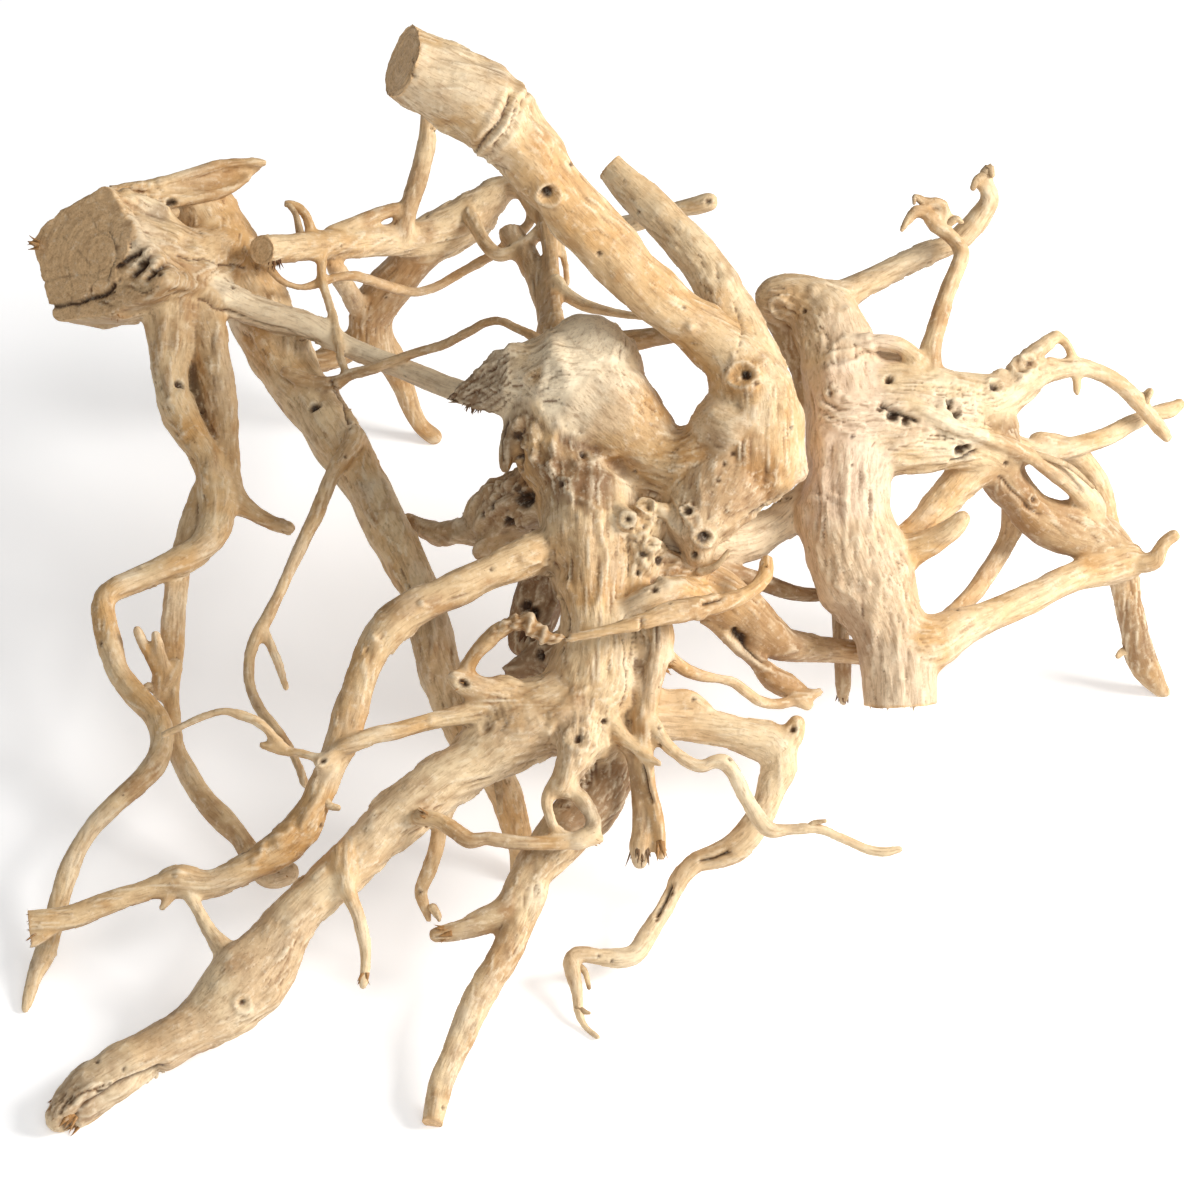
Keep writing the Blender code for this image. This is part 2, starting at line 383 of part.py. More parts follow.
# The sawn butt, the fin beside it and the knee's torn face: flat outlines (across, down) on tilted plates
BUTT_OUTLINE = ((25, 240), (52, 215), (80, 195), (104, 187), (122, 218), (150, 258), (168, 282),
                (150, 298), (118, 312), (112, 319), (80, 320), (54, 318), (48, 304), (37, 268))
BUTT_PLATE = {"centre": (100, 258, -478), "slope": (0.55, 0.1), "thick": 54}
FIN_OUTLINE = ((104, 190), (130, 184), (160, 180), (190, 171), (220, 162), (250, 160), (267, 162),
               (250, 178), (228, 194), (200, 199), (180, 200), (165, 208), (130, 210))
FIN_PLATE = {"centre": (180, 185, -545), "slope": (-0.35, 0.2), "thick": 14}
TORN_OUTLINE = ((448, 398), (456, 387), (475, 367), (494, 352), (510, 344), (540, 352), (548, 390),
                (540, 420), (512, 420), (492, 414), (470, 409), (462, 404))
TORN_PLATE = {"centre": (490, 385, -238), "slope": (0.45, -0.1), "thick": 30}

# Sawn ends: a station at the middle of each cut, the way the cut faces, and the blade's reach
SAW_CUTS = {
    "trunk_end": ((402, 62, -87), (-0.86, -0.30, 0.42), 60),
    "fork_end": ((609, 167, -330), (-0.72, -0.66, -0.20), 30),
    "cut_limb_end": ((262, 250, -500), (-0.58, 0.05, 0.81), 24),
    "pale_stump": ((903, 705, -260), (0.04, 0.99, -0.06), 60),
    "front_leg_end": ((433, 1123, 14), (-0.15, 0.88, 0.45), 22),
    "left_arm_end": ((28, 922, -65), (-0.98, 0.1, 0.15), 20),
}

WOOD_COLOUR = (0.72, 0.56, 0.36, 1.0)
WOOD_ROUGHNESS = 0.62


def place(across, down, toward):
    """World point of a sketch station: the sketch plane stands square to the line of sight."""
    shrink = 1.0 - toward * SKETCH_UNIT / VIEW_DISTANCE
    right = (across - SKETCH_CENTRE[0]) * shrink * SKETCH_UNIT
    up = (SKETCH_CENTRE[1] - down) * shrink * SKETCH_UNIT
    near = toward * SKETCH_UNIT
    back = up * math.sin(VIEW_ELEVATION) - near * math.cos(VIEW_ELEVATION)
    high = up * math.cos(VIEW_ELEVATION) + near * math.sin(VIEW_ELEVATION)
    return Vector((right - ORIGIN[0], back - ORIGIN[1], high + CENTRE_HEIGHT))


def sketch_direction(across, down, toward):
    """World direction of a sketch direction."""
    up = -down
    back = up * math.sin(VIEW_ELEVATION) - toward * math.cos(VIEW_ELEVATION)
    high = up * math.cos(VIEW_ELEVATION) + toward * math.sin(VIEW_ELEVATION)
    return Vector((across, back, high)).normalized()


def smooth_stations(stations):
    """Stations read from a Catmull-Rom curve through the given ones, about STATION_STEP radii apart."""
    points = np.array(stations, dtype=float)
    points[:, 3] = np.maximum(points[:, 3], MIN_RADIUS)
    padded = np.vstack((2.0 * points[0] - points[1], points, 2.0 * points[-1] - points[-2]))
    rows = []
    for index in range(len(points) - 1):
        before, start, end, after = padded[index:index + 4]
        span = np.linalg.norm(end[:3] - start[:3])
        count = max(1, round(span / (STATION_STEP * 2.0 * min(start[3], end[3]))))
        for step in range(count):
            t = step / count
            rows.append(0.5 * (2.0 * start + (end - before) * t
                               + (2.0 * before - 5.0 * start + 4.0 * end - after) * t ** 2
                               + (3.0 * start - before - 3.0 * end + after) * t ** 3))
    rows.append(points[-1])
    return np.array(rows)


def add_to_mesh(shape, target, matrix):
    """Add an object's evaluated mesh to the bmesh, welded at its caps, and remove the object."""
    graph = bpy.context.evaluated_depsgraph_get()
    mesh = bpy.data.meshes.new_from_object(shape.evaluated_get(graph))
    piece = bmesh.new()
    piece.from_mesh(mesh)
    bmesh.ops.remove_doubles(piece, verts=piece.verts, dist=0.00001)
    bmesh.ops.recalc_face_normals(piece, faces=piece.faces)
    piece.transform(matrix)
    piece.to_mesh(mesh)
    piece.free()
    target.from_mesh(mesh)
    bpy.data.meshes.remove(mesh)
    bpy.data.objects.remove(shape, do_unlink=True)


def limb_tube(name, stations):
    """A limb as a tapered tube: a poly curve with a round bevel, its radius set station by station."""
    rows = smooth_stations(stations)
    curve = bpy.data.curves.new(name, "CURVE")
    curve.dimensions = "3D"
    curve.bevel_depth = 1.0
    curve.bevel_resolution = BEVEL_SIDES
    curve.use_fill_caps = True
    spline = curve.splines.new("POLY")
    spline.points.add(len(rows) - 1)
    for point, (across, down, toward, radius) in zip(spline.points, rows):
        point.co = (*place(across, down, toward), 1.0)
        point.radius = radius * SKETCH_UNIT * (1.0 - toward * SKETCH_UNIT / VIEW_DISTANCE)
    shape = bpy.data.objects.new(name, curve)
    bpy.context.scene.collection.objects.link(shape)
    return shape


def tip_ball(station, target):
    """A rounded tip: a low icosphere at the end of a limb."""
    across, down, toward, radius = station
    size = max(radius, MIN_RADIUS) * SKETCH_UNIT * (1.0 - toward * SKETCH_UNIT / VIEW_DISTANCE)
    bmesh.ops.create_icosphere(target, subdivisions=2, radius=size,
                               matrix=Matrix.Translation(place(across, down, toward)))


def plate_frame(plate):
    """Middle, sideways, upward and outward directions of a plate that is tilted on the sketch."""
    across, down, toward = plate["centre"]
    slope_across, slope_down = plate["slope"]
    side = sketch_direction(1.0, 0.0, slope_across)
    fall = sketch_direction(0.0, 1.0, slope_down)
    outward = fall.cross(side).normalized()
    return place(across, down, toward), side, fall, outward


def outline_plate(name, outline, plate):
    """A flat outline with a thickness, its front face on the plate's plane."""
    middle, side, fall, outward = plate_frame(plate)
    across, down, toward = plate["centre"]
    slope_across, slope_down = plate["slope"]
    curve = bpy.data.curves.new(name, "CURVE")
    curve.dimensions = "2D"
    curve.fill_mode = "BOTH"
    curve.extrude = plate["thick"] * SKETCH_UNIT / 2.0
    spline = curve.splines.new("POLY")
    spline.points.add(len(outline) - 1)
    up = side.cross(outward).normalized()
    for point, (x, y) in zip(spline.points, outline):
        depth = toward + (x - across) * slope_across + (y - down) * slope_down
        offset = place(x, y, depth) - middle
        point.co = (offset.dot(side), offset.dot(up), 0.0, 1.0)
    spline.use_cyclic_u = True
    shape = bpy.data.objects.new(name, curve)
    bpy.context.scene.collection.objects.link(shape)
    frame = Matrix((side, up, side.cross(up))).transposed().to_4x4()
    frame.translation = middle - outward * curve.extrude
    return shape, frame


def limb_mesh():
    """All limbs, tips and plates in one mesh, still overlapping where they meet."""
    everything = bmesh.new()
    for group in LIMB_GROUPS:
        for name, stations in group.items():
            add_to_mesh(limb_tube(name, stations), everything, Matrix.Identity(4))
            tip_ball(stations[0], everything)
            tip_ball(stations[-1], everything)
    for name, outline, plate in (("butt", BUTT_OUTLINE, BUTT_PLATE), ("fin", FIN_OUTLINE, FIN_PLATE),
                                 ("torn_face", TORN_OUTLINE, TORN_PLATE)):
        shape, frame = outline_plate(name, outline, plate)
        bpy.context.view_layer.update()
        add_to_mesh(shape, everything, frame)
    mesh = bpy.data.meshes.new(NODE)
    everything.to_mesh(mesh)
    everything.free()
    return mesh


def wood_material():
    """Bleached wood, dry and matt."""
    material = bpy.data.materials.new("bleached_wood")
    material.use_nodes = True
    shader = material.node_tree.nodes["Principled BSDF"]
    shader.inputs["Base Color"].default_value = WOOD_COLOUR
    shader.inputs["Roughness"].default_value = WOOD_ROUGHNESS
    shader.inputs["Metallic"].default_value = 0.0
    return material


def cutter(name, middle, outward, reach, deep, collection):
    """A block whose near face lies on a cut, hidden from the render."""
    bpy.ops.mesh.primitive_cube_add(size=1.0)
    block = bpy.context.object
    block.name = name
    turn = outward.to_track_quat("Z", "Y").to_matrix().to_4x4()
    block.matrix_world = Matrix.Translation(middle + outward * deep / 2.0) @ turn @ Matrix.Diagonal(
        (2.0 * reach, 2.0 * reach, deep, 1.0))
    block.hide_render = True
    block.display_type = "WIRE"
    for owner in list(block.users_collection):
        owner.objects.unlink(block)
    collection.objects.link(block)


def saw_cutters(collection):
    """One block for each sawn end, one for the sawn butt and one for the surface under the branch."""
    for name, (station, facing, reach) in SAW_CUTS.items():
        cutter(name, place(*station), sketch_direction(*facing), reach * SKETCH_UNIT, 0.03, collection)
    middle, _, _, outward = plate_frame(BUTT_PLATE)
    cutter("butt_cut", middle, outward, 0.05, 0.03, collection)
    cutter("surface", Vector((0.0, 0.0, 0.0)), Vector((0.0, 0.0, -1.0)), 1.0, 0.05, collection)


def clear_scene():
    """Remove what the scene holds."""
    for item in list(bpy.data.objects):
        bpy.data.objects.remove(item, do_unlink=True)


def main():
    """Build the branch in its own collection and its cutters in another."""
    clear_scene()
    parts = bpy.data.collections.new(NODE)
    cutters = bpy.data.collections.new("cutters")
    bpy.context.scene.collection.children.link(parts)
    bpy.context.scene.collection.children.link(cutters)
    saw_cutters(cutters)
    branch = bpy.data.objects.new(NODE, limb_mesh())
    parts.objects.link(branch)
    branch.data.materials.append(wood_material())
    remesh = branch.modifiers.new("grown together", "REMESH")
    remesh.mode = "VOXEL"
    remesh.voxel_size = VOXEL
    remesh.use_smooth_shade = True
    smooth = branch.modifiers.new("worn smooth", "SMOOTH")
    smooth.iterations = SMOOTH_ROUNDS
    decimate = branch.modifiers.new("fewer faces", "DECIMATE")
    decimate.ratio = TRIANGLE_SHARE
    cuts = branch.modifiers.new("sawn ends", "BOOLEAN")
    cuts.operation = "DIFFERENCE"
    cuts.operand_type = "COLLECTION"
    cuts.collection = cutters
    cuts.solver = "EXACT"


main()
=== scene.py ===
"""The look of a bleached, sand-worn driftwood branch, built round its fixed CAD frame.

The limbs are swept as surfaces from the same sketch as the branch's dimensions, grown together by a voxel
remesh, and then shaped as one skin: blended forks, flutes and grain that follow the limbs, knots,
borer holes, cracks and sawn ends. Colours come from the same arrays. Splinters and fine twigs are added as
surfaces of their own, and a plain pale stage is set round the branch.

A sketch station is (across, down, toward, radius) in sketch units of SKETCH_UNIT, as seen by a person who
looks down on the branch from the front at VIEW_ELEVATION. Metres, +Z up.
"""

import math

import bpy
import numpy as np
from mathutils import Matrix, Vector


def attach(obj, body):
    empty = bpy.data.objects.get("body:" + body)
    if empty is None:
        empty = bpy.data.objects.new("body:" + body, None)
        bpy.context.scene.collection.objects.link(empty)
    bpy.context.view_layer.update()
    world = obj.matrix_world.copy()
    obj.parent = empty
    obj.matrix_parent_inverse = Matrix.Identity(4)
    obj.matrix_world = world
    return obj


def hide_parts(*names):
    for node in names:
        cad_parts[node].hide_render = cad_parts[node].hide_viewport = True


bl_info = {
    "name": "Driftwood branch",
    "version": (1, 0, 0),
    "blender": (4, 5, 0),
    "location": "3D Viewport > Sidebar > Driftwood",
    "description": "Grows the looks of a bleached driftwood branch round its frame, and sets its stage",
    "category": "Object",
}

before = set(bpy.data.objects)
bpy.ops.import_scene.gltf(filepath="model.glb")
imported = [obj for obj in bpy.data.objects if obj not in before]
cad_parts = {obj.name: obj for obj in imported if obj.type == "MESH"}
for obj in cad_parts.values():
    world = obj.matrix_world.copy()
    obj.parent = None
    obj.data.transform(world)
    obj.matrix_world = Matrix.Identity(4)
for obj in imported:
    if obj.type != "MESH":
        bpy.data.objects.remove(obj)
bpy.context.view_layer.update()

NODE = "driftwood_branch"
BODY = "root"

SKETCH_UNIT = 0.0005
VIEW_ELEVATION = math.radians(40.0)
VIEW_DISTANCE = 2.5
SKETCH_CENTRE = (600.0, 600.0)
CENTRE_HEIGHT = 0.2005
ORIGIN = (0.0001, 0.1212)

# The sawn butt at the left, with the legs and arms that leave it
LEFT_LIMBS = {
    "butt_body": ((112, 256, -500, 42), (140, 262, -520, 46), (180, 275, -540, 46), (212, 262, -572, 38)),
    "butt_web": ((126, 200, -508, 12), (150, 218, -526, 17), (176, 238, -545, 16), (196, 250, -560, 14)),
    "front_leg_left": (
        (176, 290, -520, 36), (171, 335, -500, 25), (169, 375, -475, 19), (176, 405, -456, 20),
        (191, 435, -440, 18), (209, 463, -426, 17), (215, 490, -412, 19), (217, 516, -398, 18),
        (203, 546, -382, 15), (171, 565, -370, 14), (141, 578, -362, 13), (116, 588, -352, 13),
        (105, 599, -345, 12), (104, 615, -338, 12), (109, 640, -325, 13), (118, 670, -312, 12),
        (137, 696, -298, 13), (156, 717, -285, 13), (162, 739, -273, 12), (157, 759, -262, 12),
        (143, 778, -250, 12), (121, 798, -240, 11), (103, 815, -230, 11), (88, 833, -220, 10),
        (76, 853, -210, 10), (68, 873, -200, 11), (62, 891, -190, 10), (56, 913, -178, 10),
        (50, 936, -166, 10), (44, 956, -154, 10), (35, 976, -142, 8), (29, 996, -128, 7),
        (25, 1009, -119, 5)),
    "leg_web": ((192, 335, -524, 14), (201, 385, -496, 13), (212, 435, -462, 11)),
    "second_leg_top": (
        (200, 310, -520, 26), (211, 352, -500, 19), (221, 395, -475, 16), (227, 440, -448, 13),
        (230, 478, -428, 12), (233, 497, -418, 14), (250, 511, -408, 10), (270, 522, -402, 8),
        (289, 528, -398, 7)),
    "second_leg_low": (
        (222, 470, -440, 13), (204, 492, -430, 13), (191, 520, -415, 12), (183, 550, -400, 12),
        (177, 585, -382, 12), (173, 620, -362, 13), (172, 650, -345, 13), (171, 690, -325, 10),
        (173, 720, -308, 9), (177, 750, -294, 9), (191, 778, -275, 11), (206, 801, -260, 11),
        (223, 820, -245, 12), (241, 838, -228, 11), (255, 861, -208, 13), (270, 875, -194, 15),
        (287, 873, -186, 14)),
    "horn_base": ((172, 668, -330, 12), (163, 682, -320, 14), (160, 694, -316, 8)),
    "horn_left": ((168, 685, -322, 10), (156, 665, -316, 8), (146, 648, -312, 6), (137, 630, -308, 5)),
    "horn_right": ((168, 685, -322, 9), (162, 660, -312, 7), (156, 635, -306, 5)),
    "long_leg": (
        (205, 215, -600, 36), (230, 260, -592, 35), (266, 323, -572, 33), (289, 371, -535, 29),
        (313, 403, -505, 28), (339, 441, -455, 27), (361, 478, -415, 25), (387, 526, -362, 24),
        (407, 564, -325, 22), (422, 597, -296, 21), (435, 650, -270, 22), (448, 688, -256, 22),
        (465, 730, -252, 20), (486, 760, -253, 19), (503, 788, -256, 17), (514, 820, -262, 16),
        (521, 848, -267, 12), (517, 872, -268, 7)),
    "hook_twig": (
        (356, 436, -415, 10), (350, 448, -400, 9), (338, 465, -385, 9), (330, 481, -374, 8),
        (322, 500, -358, 8), (316, 516, -345, 9), (307, 533, -330, 8), (299, 551, -316, 8),
        (290, 570, -300, 7), (279, 594, -280, 7), (267, 618, -262, 7), (257, 636, -249, 7),
        (250, 655, -237, 6), (249, 675, -227, 6), (252, 692, -219, 6), (262, 712, -208, 6),
        (275, 728, -198, 6), (289, 747, -187, 5), (298, 765, -178, 5), (305, 784, -168, 5)),
    "hook_twig_fork": ((262, 628, -255, 6), (272, 648, -248, 5), (280, 668, -244, 5), (286, 688, -240, 4)),
    "cross_arm": (
        (165, 280, -530, 24), (195, 287, -528, 22), (225, 299, -524, 18), (255, 311, -520, 15),
        (285, 319, -515, 15), (310, 327, -510, 15), (335, 341, -502, 13), (362, 353, -490, 12),
        (395, 366, -470, 11), (425, 378, -448, 11), (455, 390, -420, 11), (490, 400, -380, 12),
        (525, 405, -335, 16), (554, 405, -298, 20), (584, 404, -262, 24)),
    "fin_top": ((112, 190, -522, 5), (135, 186, -530, 5), (160, 182, -538, 5), (190, 173, -548, 5),
                (220, 164, -559, 5), (250, 162, -569, 5), (264, 163, -574, 4)),
    "fin_under": ((165, 204, -541, 6), (200, 196, -553, 6), (228, 190, -563, 5), (248, 178, -570, 4)),
    "butt_spur": ((185, 262, -545, 14), (215, 258, -560, 11), (250, 250, -575, 10)),
}

# The limbs at the back left, whose foot stands furthest from the viewer
BACK_LIMBS = {
    "cut_limb": (
        (255, 250, -492, 15), (262, 250, -500, 15), (290, 248, -535, 15), (320, 246, -570, 16),
        (350, 243, -605, 16), (380, 240, -638, 16), (403, 240, -660, 17), (425, 239, -678, 21),
        (446, 232, -690, 24), (471, 217, -697, 23), (490, 201, -697, 18), (508, 188, -692, 12),
        (528, 192, -675, 12), (542, 212, -650, 12)),
    "back_leg": (
        (425, 245, -690, 22), (405, 272, -705, 21), (385, 295, -725, 23), (371, 317, -745, 24),
        (376, 340, -765, 21), (390, 360, -785, 17), (403, 385, -805, 12), (411, 408, -822, 10),
        (421, 426, -835, 9), (434, 436, -840, 9)),
    "back_web": ((333, 262, -592, 9), (345, 286, -655, 10), (358, 306, -720, 12)),
    "back_knob": ((368, 332, -755, 16), (336, 355, -750, 14), (306, 366, -745, 11)),
    "back_riser": (
        (401, 236, -650, 14), (406, 215, -645, 11), (414, 192, -640, 10), (421, 168, -630, 10),
        (427, 140, -620, 10), (430, 112, -610, 10), (432, 96, -600, 9)),
    "back_bar": ((590, 350, -300, 16), (630, 341, -318, 12), (655, 337, -310, 11), (690, 332, -290, 8)),
    "back_ridge": ((332, 234, -590, 9), (360, 222, -610, 8), (380, 214, -628, 7), (398, 209, -640, 7),
                   (409, 214, -648, 6)),
    "back_fork": ((312, 234, -562, 6), (306, 216, -560, 5), (298, 207, -560, 5), (287, 203, -558, 4)),
    "wavy_twig": (
        (268, 266, -512, 5), (282, 281, -525, 4), (300, 287, -538, 4), (317, 284, -550, 5),
        (335, 278, -562, 5), (355, 276, -580, 6), (378, 283, -605, 6), (400, 290, -632, 6),
        (418, 292, -645, 5), (440, 285, -652, 5), (460, 273, -655, 5), (480, 262, -655, 5),
        (500, 250, -655, 5), (519, 235, -655, 5), (531, 217, -660, 5), (524, 202, -668, 4),
        (514, 188, -680, 4)),
    "back_hook": (
        (470, 215, -672, 8), (480, 234, -648, 7), (489, 248, -632, 7), (501, 255, -624, 7),
        (520, 248, -620, 7), (535, 236, -622, 7), (546, 222, -630, 7)),
    "hanging_twig": (
        (322, 260, -556, 6), (322, 280, -545, 5), (328, 300, -530, 5), (334, 320, -510, 5),
        (338, 340, -484, 5), (341, 358, -475, 5), (346, 373, -470, 4)),
    "knobby_twig": (
        (286, 372, -485, 7), (300, 378, -482, 8), (318, 382, -478, 7), (338, 381, -472, 7),
        (352, 374, -466, 6), (375, 368, -458, 6), (400, 358, -450, 5), (425, 350, -438, 5),
        (445, 344, -425, 5), (470, 331, -402, 5), (485, 323, -388, 5), (500, 321, -372, 5),
        (516, 328, -355, 5), (532, 336, -335, 6), (550, 350, -310, 8)),
    "back_strut_right": (
        (544, 214, -640, 10), (549, 240, -605, 9), (552, 270, -555, 8), (554, 300, -502, 8),
        (558, 326, -450, 9), (566, 350, -390, 14), (572, 365, -340, 20)),
    "back_strut_left": (
        (512, 236, -650, 13), (525, 255, -620, 13), (540, 283, -565, 13), (548, 312, -505, 13),
        (555, 340, -440, 16), (562, 362, -380, 22)),
    "strut_twig": (
        (556, 282, -525, 9), (566, 294, -508, 8), (582, 304, -490, 7), (602, 310, -468, 6),
        (622, 314, -448, 5), (642, 317, -430, 4)),
    "strut_splinter": ((558, 232, -612, 5), (563, 252, -596, 4), (566, 270, -584, 4), (567, 283, -578, 4)),
    "knob_limb": (
        (545, 222, -645, 10), (585, 230, -620, 10), (625, 225, -600, 10), (655, 216, -585, 9),
        (680, 209, -575, 9), (698, 205, -568, 10), (709, 202, -562, 10)),
}

# The forked trunk, the knee below it, the stem and the root crown
TRUNK_LIMBS = {
    "trunk": (
        (391, 57, -85, 36), (403, 63, -87, 36), (425, 75, -92, 37), (450, 88, -96, 39),
        (480, 103, -101, 43), (499, 120, -106, 41), (512, 138, -111, 37), (527, 153, -117, 34),
        (541, 173, -126, 31), (562, 197, -138, 31), (582, 220, -149, 30), (601, 239, -158, 29),
        (621, 261, -168, 28), (641, 283, -178, 28), (660, 301, -187, 27), (682, 316, -196, 26),
        (706, 334, -203, 29), (732, 356, -209, 33), (750, 386, -214, 42), (756, 420, -218, 51),
        (752, 450, -218, 56)),
    "trunk_fork": (
        (604, 162, -333, 15), (610, 168, -330, 15), (632, 190, -316, 18), (654, 211, -303, 20),
        (676, 234, -288, 20), (696, 257, -270, 21), (712, 277, -257, 23), (724, 298, -246, 25),
        (737, 324, -235, 27), (748, 352, -226, 31), (752, 380, -222, 36)),
    "heel_corner": ((740, 440, -220, 56), (775, 455, -215, 37), (797, 470, -212, 16)),
    "heel_tip": ((732, 470, -215, 50), (707, 503, -200, 40), (698, 530, -190, 29), (700, 552, -185, 15)),
    "knee_arm": (
        (585, 400, -247, 64), (622, 436, -240, 51), (658, 464, -232, 40), (698, 471, -225, 47),
        (745, 450, -220, 54)),
    "knee": ((520, 386, -252, 36), (545, 386, -252, 57), (573, 390, -252, 67), (594, 362, -252, 49)),
    "knee_torn": ((478, 394, -268, 12), (500, 388, -262, 22), (520, 386, -255, 32)),
    "knee_curtain": ((520, 410, -235, 16), (509, 442, -230, 11), (505, 468, -226, 6)),
    "stem": (
        (556, 425, -244, 54), (566, 458, -234, 47), (576, 480, -227, 45), (585, 505, -218, 50),
        (588, 540, -205, 49), (593, 575, -192, 41), (594, 605, -180, 38), (597, 640, -166, 42),
        (592, 680, -155, 48), (582, 712, -145, 47), (585, 735, -135, 34)),
    "crown": ((592, 700, -150, 46), (550, 713, -140, 41), (520, 722, -135, 40)),
}

# The limbs that leave the crown to the left and to the front
CROWN_LIMBS = {
    "great_limb": (
        (530, 722, -136, 41), (496, 745, -130, 34), (470, 765, -126, 28), (440, 783, -121, 28),
        (415, 803, -116, 28), (390, 823, -110, 28), (370, 845, -104, 26), (350, 865, -99, 25),
        (327, 886, -93, 24), (303, 908, -87, 24), (281, 933, -80, 27), (264, 959, -72, 33),
        (247, 981, -62, 40), (226, 1002, -50, 36), (202, 1023, -38, 28), (180, 1037, -29, 25),
        (155, 1052, -20, 25), (128, 1067, -10, 26), (104, 1082, 2, 27), (84, 1097, 9, 27),
        (69, 1110, 14, 24), (60, 1118, 16, 18)),
    "left_arm": (
        (560, 545, -205, 26), (540, 552, -190, 22), (520, 560, -177, 20), (490, 573, -162, 18),
        (460, 587, -150, 19), (430, 602, -140, 18), (405, 617, -132, 20), (382, 637, -126, 20),
        (368, 660, -122, 17), (360, 682, -118, 16), (353, 703, -115, 17), (346, 727, -112, 17),
        (340, 748, -110, 17), (331, 768, -108, 16), (322, 786, -107, 16), (314, 806, -105, 16),
        (302, 826, -104, 18), (287, 843, -102, 18), (268, 857, -100, 17), (248, 867, -98, 16),
        (225, 879, -96, 15), (205, 885, -94, 15), (180, 881, -92, 17), (160, 886, -89, 13),
        (140, 892, -85, 11), (118, 899, -81, 12), (100, 906, -78, 12), (80, 914, -74, 12),
        (60, 920, -70, 12), (42, 922, -67, 13), (24, 923, -65, 13)),
    "left_arm_prong": ((56, 924, -68, 9), (43, 935, -65, 7), (31, 943, -62, 6)),
    "left_arm_spur": ((180, 884, -90, 7), (170, 898, -86, 5), (162, 908, -84, 4)),
    "bridge": ((184, 886, -89, 8), (195, 905, -84, 7), (206, 925, -78, 8), (216, 940, -72, 10),
               (228, 955, -66, 14)),
    "thin_arm": (
        (500, 700, -128, 20), (470, 712, -117, 13), (445, 718, -110, 10), (420, 724, -104, 9),
        (395, 731, -99, 9), (375, 735, -96, 9), (357, 742, -94, 10), (342, 747, -94, 9)),
    "thin_arm_cup": ((338, 750, -95, 8), (328, 758, -92, 7), (321, 763, -92, 8)),
    "thin_arm_twig": (
        (330, 757, -91, 5), (315, 757, -97, 5), (300, 753, -104, 5), (282, 751, -110, 5),
        (262, 745, -114, 4)),
    "thin_arm_fork": (
        (287, 750, -110, 5), (266, 729, -112, 5), (255, 720, -114, 5), (240, 715, -117, 5),
        (225, 711, -120, 4), (208, 715, -124, 4), (195, 720, -127, 4), (175, 730, -132, 4),
        (163, 735, -134, 4)),
    "bow_twig": (
        (474, 684, -116, 12), (466, 672, -112, 9), (474, 656, -104, 8), (488, 641, -97, 9),
        (504, 627, -92, 9), (522, 622, -88, 9), (536, 631, -86, 7), (552, 638, -84, 6),
        (575, 637, -83, 5), (600, 632, -83, 6), (622, 627, -84, 7), (642, 622, -88, 9),
        (665, 614, -96, 11), (690, 609, -108, 12), (712, 604, -122, 11), (732, 600, -138, 9),
        (748, 593, -152, 8), (759, 584, -162, 8), (766, 573, -170, 9), (767, 562, -175, 8)),
    "hollow_stub": ((505, 697, -128, 24), (480, 690, -114, 15), (463, 684, -106, 11), (455, 678, -104, 9)),
    "drop_twig": (
        (450, 795, -132, 12), (441, 825, -128, 9), (436, 850, -122, 8), (428, 873, -118, 8),
        (421, 892, -115, 7), (425, 907, -112, 6), (429, 920, -110, 4)),
    "limb_twig": (
        (344, 858, -84, 16), (345, 880, -74, 11), (351, 898, -70, 8), (358, 915, -67, 7),
        (364, 940, -64, 7), (366, 960, -62, 6), (363, 985, -60, 5)),
    "ragged_twig": (
        (420, 817, -82, 9), (438, 820, -78, 8), (455, 831, -73, 9), (470, 841, -70, 8),
        (485, 838, -69, 7), (500, 840, -69, 8), (520, 843, -70, 8), (540, 843, -73, 8),
        (564, 842, -78, 9)),
    "ring_root": ((580, 730, -118, 30), (577, 752, -98, 21), (570, 770, -90, 18), (563, 787, -86, 16)),
    "ring_left": ((556, 784, -84, 10), (547, 800, -82, 7), (549, 815, -80, 6), (556, 830, -79, 6),
                  (570, 841, -79, 9)),
    "ring_right": ((566, 786, -86, 12), (581, 799, -84, 9), (591, 814, -82, 8), (594, 829, -80, 9),
                   (582, 839, -79, 11), (568, 841, -79, 9)),
    "ring_tip": ((584, 838, -79, 11), (600, 839, -79, 5)),
    "shaded_limb": (
        (605, 735, -170, 34), (606, 765, -168, 31), (597, 790, -157, 32), (582, 815, -143, 30),
        (558, 839, -128, 26), (540, 862, -117, 24), (524, 885, -107, 21), (508, 908, -98, 17),
        (488, 919, -92, 15), (468, 927, -87, 12), (450, 932, -84, 10), (436, 935, -82, 8)),
    "front_leg": (
        (530, 888, -108, 21), (523, 915, -98, 17), (511, 942, -85, 16), (500, 962, -74, 16),
        (486, 985, -60, 16), (475, 1003, -49, 15), (462, 1035, -30, 14), (451, 1060, -16, 13),
        (442, 1080, -4, 14), (437, 1100, 4, 13), (433, 1122, 10, 12), (432, 1130, 12, 11)),
    "column": (
        (645, 600, -165, 18), (655, 620, -157, 18), (657, 640, -150, 18), (652, 670, -138, 15),
        (646, 700, -128, 14), (645, 740, -117, 11), (647, 770, -112, 9), (651, 792, -111, 8),
        (656, 812, -110, 8), (660, 833, -110, 7), (661, 855, -110, 6)),
    "column_lump": ((658, 648, -146, 14), (668, 656, -142, 8)),
    "torn_stalk": (
        (622, 735, -130, 12), (632, 757, -122, 7), (636, 785, -120, 6), (640, 808, -118, 9),
        (642, 830, -117, 11), (640, 848, -116, 12), (640, 862, -115, 8)),
    "crown_splinter": ((606, 722, -122, 14), (628, 742, -110, 7), (645, 755, -104, 5), (660, 764, -100, 4)),
}

